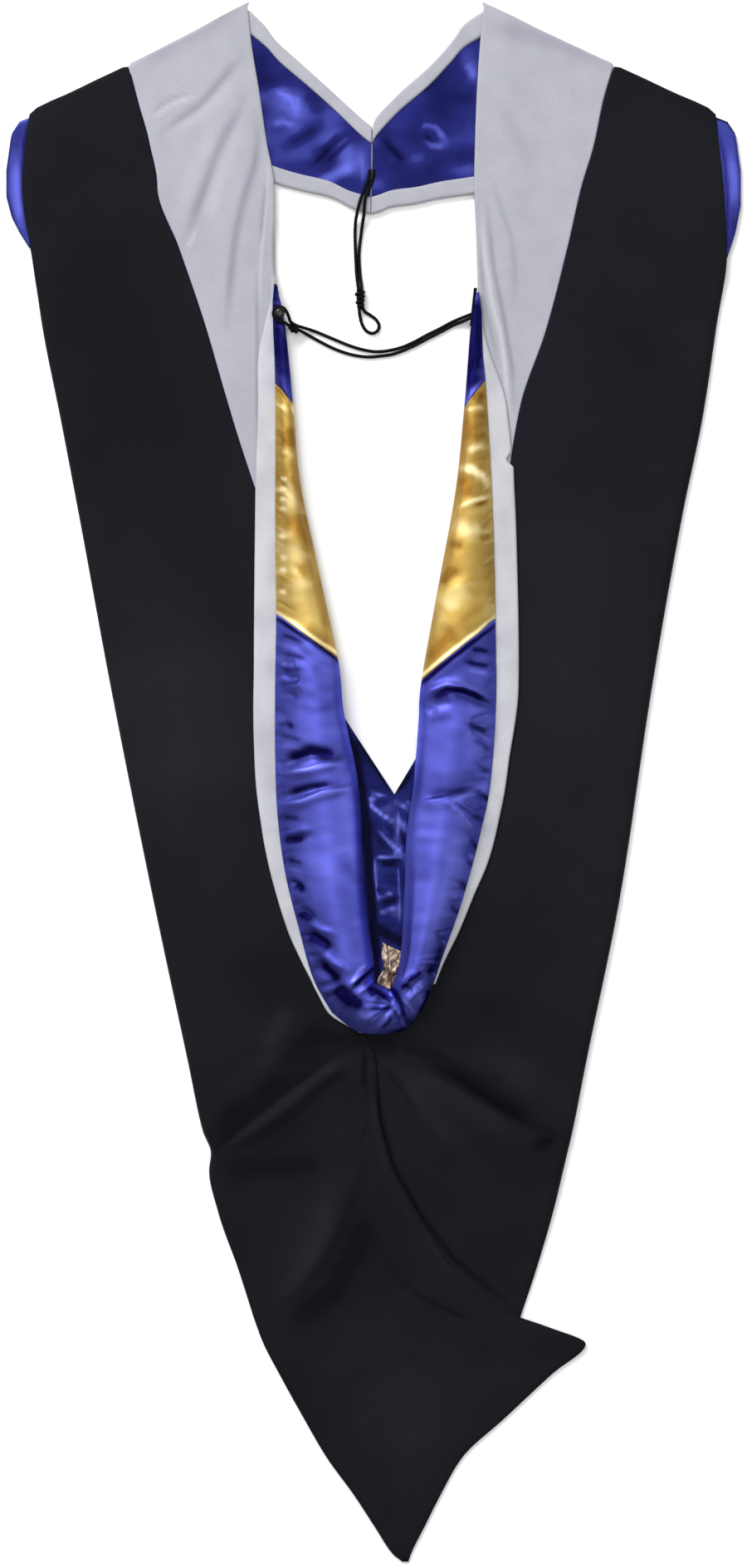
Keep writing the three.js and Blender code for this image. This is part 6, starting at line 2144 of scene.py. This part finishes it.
@dataclass
class UnderLayer(SubAssembly):
    """Under layer with its V between the rolls: black cloth, blue lining satin painted darker as painted
    shade, and the gold chevron patch painted tan as painted shade.
    """

    step: float = 0.0025
    hidden_step: float = 0.008
    columns: int = 80
    start: float = 0.185
    shell_end: float = 0.972
    lining_end: float = 0.712
    fold_inset: float = 0.009
    patch_slant: float = 0.5

    def shapes(self) -> list[Cloth]:
        """Works out the plies of both sides and the patch.

        Returns:
            Five sheets.
        """
        layout = self.layout
        sheets = []
        plies = (
            ("under_shell", 0.0, layout.shell, self.shell_end, 0.0, BLACK_CLOTH),
            ("under_lining", layout.under_lining, layout.satin, self.lining_end, 0.001, SHADED_LINING_SATIN),
        )
        tail = through(UNDER_TAIL, "down", "right")
        places = [row.down for row in UNDER_SEAM]
        for part, level, thickness, end, inset, finish in plies:
            lining = part == "under_lining"
            down = layout.rows(self.start + 4 * inset, end, self.step if lining else self.hidden_step)
            shares = dense_at_ends(self.columns, 0.3) if lining else np.linspace(0, 1, 13)
            shares = 1 - (1 - shares) ** 1.4
            shade_and_mottle = None
            for side in Side:
                seam = np.interp(down, places, [getattr(row, side.value) for row in UNDER_SEAM])
                inner = layout.across(seam) - side.sign * (inset + layout.seam / 8)
                fold = layout.fold(side)(down) - side.sign * self.fold_inset
                if side is Side.RIGHT:
                    fold = np.where(down > 0.8, np.minimum(fold, layout.across(tail(down))), fold)
                grid = layout.grid(down, fold, inner, shares)
                x, y = grid[..., 0], grid[..., 1]
                grid[..., 2] = level + thickness
                name = f"{part}_{side.value}"
                below = "floor_rest"
                if lining:
                    near = ease((x + 0.045) / 0.02) * ease((0.06 - x) / 0.02)
                    waves = relief(UNDER_CREASES, x, y) + 0.0005 * soft_noise(x, y, 0.012, 0.008, 61)
                    grid[..., 2] += np.clip(waves, -0.0003, 0.0016) * near
                    grid[..., 2] += 0.0002 * (side is Side.RIGHT)
                    # Painted shade and highlight of the creases, with painted shadows in the V, and random
                    # mottle.
                    shade_and_mottle = painted_shading(UNDER_PAINTED_SHADING, x, y, 0.8) + 0.25 * soft_noise(x, y, 0.008, 0.008, 62)
                    below = f"under_shell_{side.value}"
                sheets.append(Cloth(name, grid, thickness, finish, Hold.LAID, below, shade_and_mottle))
        sheets.append(self.patch())
        return sheets

    def patch(self) -> Cloth:
        """Crumpled gold chevron satin at the bottom of the V, painted tan as painted shade.

        Returns:
            The sheet.
        """
        layout = self.layout
        down = np.linspace(INNER_CHEVRON_ROWS[0].down, INNER_CHEVRON_ROWS[-1].down, 44)
        start = layout.across(through(INNER_CHEVRON_ROWS, "down", "left")(down))
        end = layout.across(through(INNER_CHEVRON_ROWS, "down", "right")(down))
        grid = layout.grid(down, start, end, np.linspace(0, 1, 37))
        x = grid[..., 0]
        grid[..., 1] -= self.patch_slant * (x - x.min()) * ((down[-1] - down) / (down[-1] - down[0]))[:, None]
        y = grid[..., 1]
        crumple = 0.0012 * soft_noise(x, y, 0.0028, 0.004, 65) + 0.0007 * soft_noise(x, y, 0.0014, 0.0018, 66)
        grid[..., 2] = layout.outer_lining + layout.satin + 0.0012 + crumple
        # Painted shade in the crumples' hollows and painted highlight on their crests, with a darker band
        # across the patch's middle.
        shade_and_mottle = crumple / 0.0014 - 0.5 * ease(1 - np.abs(y + 0.128) / 0.004)
        thickness = 0.8 * layout.satin
        below = "under_lining_right"
        return Cloth("inner_chevron", grid, thickness, SHADED_GOLD_SATIN, Hold.GATHERED, below, shade_and_mottle)


def spaced_route(points: np.ndarray, step: float) -> np.ndarray:
    """Smooth route through points, with even steps.

    Args:
        points: Points of the route.
        step: Step in metres.

    Returns:
        Points along a smooth curve, one step apart.
    """
    dense = along_rows(points, np.linspace(0, len(points) - 1, 40 * len(points)))
    reach = reach_along(dense)
    places = np.linspace(0.0, reach[-1], max(3, round(reach[-1] / step)) + 1)
    return np.stack([np.interp(places, reach, dense[:, axis]) for axis in range(3)], axis=1)


def tube_object(name: str, route: np.ndarray, radius: float, sides: int, braid: float) -> bpy.types.Object:
    """Makes a closed braided tube along a route.

    Args:
        name: Name of the object.
        route: Points along it, one small step apart.
        radius: Radius in metres.
        sides: Number of corners round it.
        braid: Depth of the braid as a share of the radius.

    Returns:
        The object.
    """
    tangent = np.gradient(route, axis=0)
    tangent /= np.linalg.norm(tangent, axis=1, keepdims=True)
    beside = np.cross(tangent, np.array([0.0, 0.0, 1.0]))
    beside /= np.maximum(np.linalg.norm(beside, axis=1, keepdims=True), 1e-6)
    over = np.cross(beside, tangent)
    angle = np.linspace(0.0, 2 * np.pi, sides, endpoint=False)[None, :]
    reach = reach_along(route)[:, None]
    turn = 2 * np.pi * reach / (5 * radius)
    lumps = np.abs(np.sin(2 * angle + turn)) + np.abs(np.sin(2 * angle - turn)) - 1.0
    size = radius * (1 + braid * lumps)
    size[[0, -1]] *= 0.55
    ring = (
        route[:, None, :]
        + (size * np.cos(angle))[..., None] * beside[:, None, :]
        + (size * np.sin(angle))[..., None] * over[:, None, :]
    )
    uv = np.stack(np.broadcast_arrays(reach, angle * radius), axis=-1)
    uv = np.concatenate([uv.reshape(-1, 2), np.zeros((2, 2))])
    return ring_object(name, ring, route[[0, -1]], uv, True)


def ring_object(
    name: str, rings: np.ndarray, middles: np.ndarray, uv: np.ndarray | None, forward: bool
) -> bpy.types.Object:
    """Makes a closed object from rings of points, with triangles on both ends.

    Args:
        name: Name of the object.
        rings: Points as rings by corners by three.
        middles: Middle points of its two ends.
        uv: Texture coordinates of the rings and the two middles, or None for X and Y.
        forward: Whether its ends face out along the order of the corners.

    Returns:
        The object.
    """
    count, sides = rings.shape[:2]
    points = np.concatenate([rings.reshape(-1, 3), middles])
    first = np.arange(sides)
    last = first + (count - 1) * sides
    start = np.stack([np.full(sides, count * sides), first, np.roll(first, -1)], axis=1)
    end = np.stack([np.full(sides, count * sides + 1), np.roll(last, -1), last], axis=1)
    caps = np.concatenate([start, end])
    if not forward:
        caps = caps[:, [0, 2, 1]]
    body = grid_faces(count, sides, 0, around=True)
    return mesh_object(name, points, body, points[:, :2].copy() if uv is None else uv, caps)


@dataclass
class Cords:
    """Both doubled cords with their knots, the button and the tab.

    The tab leans across by its lean from top to bottom and is narrower than its box.
    """

    layout: Layout
    diameter: float = 0.0022
    step: float = 0.0006
    sides: int = 12
    braid: float = 0.05
    loop_knot: tuple[float, float, float] = (-0.009, 0.3312, 0.0031)
    cross_knot: tuple[float, float, float] = (-0.0544, 0.3108, 0.0064)
    button_place: tuple[float, float] = (0.2, -0.2545)
    tab_lean: float = 0.0028
    tab_narrow: float = 0.75
    objects: dict[str, bpy.types.Object] = field(default_factory=dict)
    routes: dict[str, np.ndarray] = field(default_factory=dict)

    def build(self) -> None:
        """Makes the cords, the knots, the button and the tab."""
        through_loop = np.array([(-0.0101, 0.336, 0.0033), (-0.0099, 0.327, 0.0033)])
        back_loop = np.array([(-0.0079, 0.328, 0.0034), (-0.008, 0.336, 0.0034)])
        loop = np.concatenate(
            [LOOP_LEFT_ROUTE, through_loop, LOOP_EYE_ROUTE, back_loop, np.array(LOOP_RIGHT_ROUTE)[::-1]]
        )
        self.routes["loop_cord"] = spaced_route(loop, self.step)
        cross_in = np.array([(-0.0535, 0.3128, 0.0075)])
        cross_out = np.array([(-0.0545, 0.3102, 0.0075)])
        cross = np.concatenate(
            [CROSS_UPPER_ROUTE, cross_in, CROSS_EYE_ROUTE, cross_out, np.array(CROSS_LOWER_ROUTE)[::-1]]
        )
        self.routes["cross_cord"] = spaced_route(cross, self.step)
        for name, route in self.routes.items():
            self.objects[name] = tube_object(name, route, self.diameter / 2, self.sides, self.braid)
        knots = (
            ("loop_knot", self.loop_knot, 0.0138, 0.0, 5.0),
            ("cross_knot", self.cross_knot, 0.0062, 0.9, 2.6),
        )
        for name, centre, length, turn, turns in knots:
            self.objects[name] = self.knot(name, centre, length, turn, turns)
        self.objects["button"] = self.button()
        self.objects["tab"] = self.tab()

    def knot(self, name: str, centre: tuple, length: float, turn: float, turns: float) -> bpy.types.Object:
        """Makes a knot as a cord wound round the doubled cord.

        Args:
            name: Name of the object.
            centre: Centre in metres.
            length: Length along its own axis in metres.
            turn: Turn of its axis about the upright, in radians, from along Y.
            turns: Number of turns.

        Returns:
            The object.
        """
        share = np.linspace(0.0, 1.0, round(turns * 26))
        angle = 2 * np.pi * turns * share + 0.6
        swell = 0.0020 + 0.0003 * np.sin(np.pi * share * 2.0) - 0.0009 * np.abs(2 * share - 1) ** 6
        along = (0.5 - share) * length
        wobble = 0.0004 * np.sin(angle * 0.5)
        x = swell * np.cos(angle) + wobble
        z = swell * np.sin(angle) * 0.92
        route = np.stack(
            [
                centre[0] + x * math.cos(turn) - along * math.sin(turn),
                centre[1] + x * math.sin(turn) + along * math.cos(turn),
                centre[2] + z,
            ],
            axis=1,
        )
        return tube_object(name, route, self.diameter / 2 * 1.08, self.sides, self.braid)

    def button(self) -> bpy.types.Object:
        """Makes the small domed button on its shank.

        Returns:
            The object.
        """
        dome = 0.0036
        hub = 0.0001
        shank = 0.0016
        shank_top = 0.0028
        rim = shank_top + 0.0008
        corners = 32
        turn = np.linspace(0.0, math.pi / 2, 12)
        profile = [(hub, 0.0), (shank, 0.0), (shank, shank_top), (dome * 0.9, shank_top)]
        profile += [(dome, shank_top + 0.0004)]
        profile += [(dome * math.cos(angle) ** 0.7, rim + 0.0018 * math.sin(angle)) for angle in turn[:-1]]
        profile += [(hub, rim + 0.0018)]
        away, rise = np.array(profile).T[..., None]
        down, out = self.button_place
        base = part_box("cord_button")[0][2]
        angle = np.linspace(0.0, 2 * np.pi, corners, endpoint=False)[None, :]
        middle_x = self.layout.across(out)
        middle_y = self.layout.along(down)
        x = middle_x + away * np.cos(angle)
        y = middle_y + away * np.sin(angle)
        rings = np.stack(np.broadcast_arrays(x, y, base + rise), axis=-1)
        middles = np.array([(middle_x, middle_y, base), (middle_x, middle_y, base + rise[-1, 0])])
        return ring_object("button", rings, middles, None, False)

    def tab(self) -> bpy.types.Object:
        """Makes the narrow tab that holds the cross cord.

        Returns:
            The object.
        """
        low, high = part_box("cord_tab")
        share = dense_at_ends(14, 0.8)
        length_share = dense_at_ends(50, 0.3)
        x = low[0] + (high[0] - low[0]) * share[None, :]
        y = high[1] + (low[1] - high[1]) * length_share[:, None]
        x, y = np.broadcast_arrays(x, y)
        from_edge = np.minimum(np.minimum(x - low[0], high[0] - x), np.minimum(y - low[1], high[1] - y))
        down = (high[1] - y) / (high[1] - low[1])
        middle = (low[0] + high[0]) / 2 + self.tab_lean * (0.1 - down)
        x = middle + (x - (low[0] + high[0]) / 2) * self.tab_narrow
        ribs = 0.00012 * np.sin(2 * np.pi * y / 0.0022)
        z = high[2] - 0.0006 * (1 - rounded_edge(from_edge, 0.0006)) + ribs * ease(from_edge / 0.0008)
        return cloth_object("tab", np.stack([x, y, z], axis=-1), high[2] - low[2] - 0.0006, (0.0, 0.0, 1.0))

    def dress(self) -> None:
        replaced = {
            "loop_cord": ("loop_cord_left", "loop_cord_right", "loop_cord_eye"),
            "cross_cord": ("cross_cord_upper", "cross_cord_lower", "cross_cord_eye"),
            "loop_knot": ("loop_cord_knot",),
            "cross_knot": ("cross_cord_knot",),
            "button": ("cord_button",),
            "tab": ("cord_tab",),
        }
        for name, nodes in replaced.items():
            finish = BLACK_BUTTON if name == "button" else BLACK_CORD
            piece = self.objects[name]
            piece.data.materials.append(finish.material())
            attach(piece, "root")
            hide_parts(*nodes)


class Light(NamedTuple):
    """Softbox: its place and size in metres, its power in watts."""

    name: str
    place: tuple[float, float, float]
    width: float
    height: float
    power: float


LIGHTS = (
    Light("overhead", (0.0, 0.35, 4.0), 3.2, 3.2, 88.0),
    Light("key", (-1.7, 3.0, 2.5), 2.2, 1.4, 180.0),
    Light("left", (-3.4, 0.3, 2.2), 1.8, 3.0, 30.0),
    Light("right", (3.4, 0.1, 2.2), 1.8, 3.0, 38.0),
    Light("low", (0.3, -3.4, 2.4), 2.4, 1.2, 12.0),
)


@dataclass
class Studio:
    """Camera, floor and lights."""

    lens: float = 100.0
    sensor: float = 36.0
    frame_height: float = PHOTO_HEIGHT * PHOTO_SCALE
    target: tuple[float, float] = (0.0, -0.00085)
    floor_level: float = -0.0002
    floor_reach: float = 6.0

    def place_camera(self) -> None:
        """Puts the camera straight above the hood, with the photo's frame."""
        data = bpy.data.cameras.new("camera")
        data.lens = self.lens
        data.sensor_width = self.sensor
        camera = bpy.data.objects.new("camera", data)
        camera.location = (*self.target, self.frame_height * self.lens / self.sensor)
        data.clip_end = 50.0
        bpy.context.scene.collection.objects.link(camera)
        bpy.context.scene.camera = camera

    def build(self) -> None:
        """Makes the floor, the lights and the pale surroundings."""
        mesh = bpy.data.meshes.new("floor")
        signs = ((-1, -1), (1, -1), (1, 1), (-1, 1))
        corners = [(x * self.floor_reach, y * self.floor_reach, self.floor_level) for x, y in signs]
        mesh.from_pydata(corners, [], [(0, 1, 2, 3)])
        floor = bpy.data.objects.new("floor", mesh)
        bpy.context.scene.collection.objects.link(floor)
        paint = bpy.data.materials.new("floor_paint")
        paint.use_nodes = True
        shader = paint.node_tree.nodes["Principled BSDF"]
        shader.inputs["Base Color"].default_value = (0.93, 0.93, 0.93, 1.0)
        shader.inputs["Roughness"].default_value = 0.9
        shader.inputs["Specular IOR Level"].default_value = 0.1
        floor.data.materials.append(paint)
        for light in LIGHTS:
            self.add_light(light)
        world = bpy.data.worlds.new("surroundings")
        world.use_nodes = True
        world.node_tree.nodes["Background"].inputs["Color"].default_value = (1.0, 1.0, 1.0, 1.0)
        world.node_tree.nodes["Background"].inputs["Strength"].default_value = 0.1
        bpy.context.scene.world = world
        bpy.context.scene.view_settings.view_transform = "Standard"

    def add_light(self, light: Light) -> None:
        """Adds a softbox that faces the hood.

        Args:
            light: Row of the table of lights.
        """
        data = bpy.data.lights.new(light.name, "AREA")
        data.shape = "RECTANGLE"
        data.size = light.width
        data.size_y = light.height
        data.energy = light.power
        lamp = bpy.data.objects.new(light.name, data)
        lamp.location = light.place
        away = lamp.location - Vector((0.0, 0.0, 0.0))
        lamp.rotation_euler = away.to_track_quat("Z", "Y").to_euler()
        bpy.context.scene.collection.objects.link(lamp)


def main() -> None:
    """Builds and dresses the hood."""
    logging.basicConfig(level=logging.INFO, format="%(message)s", stream=sys.stdout)
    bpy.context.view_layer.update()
    layout = Layout()
    studio = Studio()
    studio.place_camera()
    groups = [
        Cords(layout),
        BackShell(layout),
        BackLining(layout),
        VelvetTrim(layout),
        EdgeStrip(layout),
        TurnedLining(layout),
        Neckband(layout),
        FrontLayer(layout),
        UnderLayer(layout),
    ]
    for group in groups:
        group.build()
        group.dress()
    studio.build()


if __name__ == "__main__":
    main()
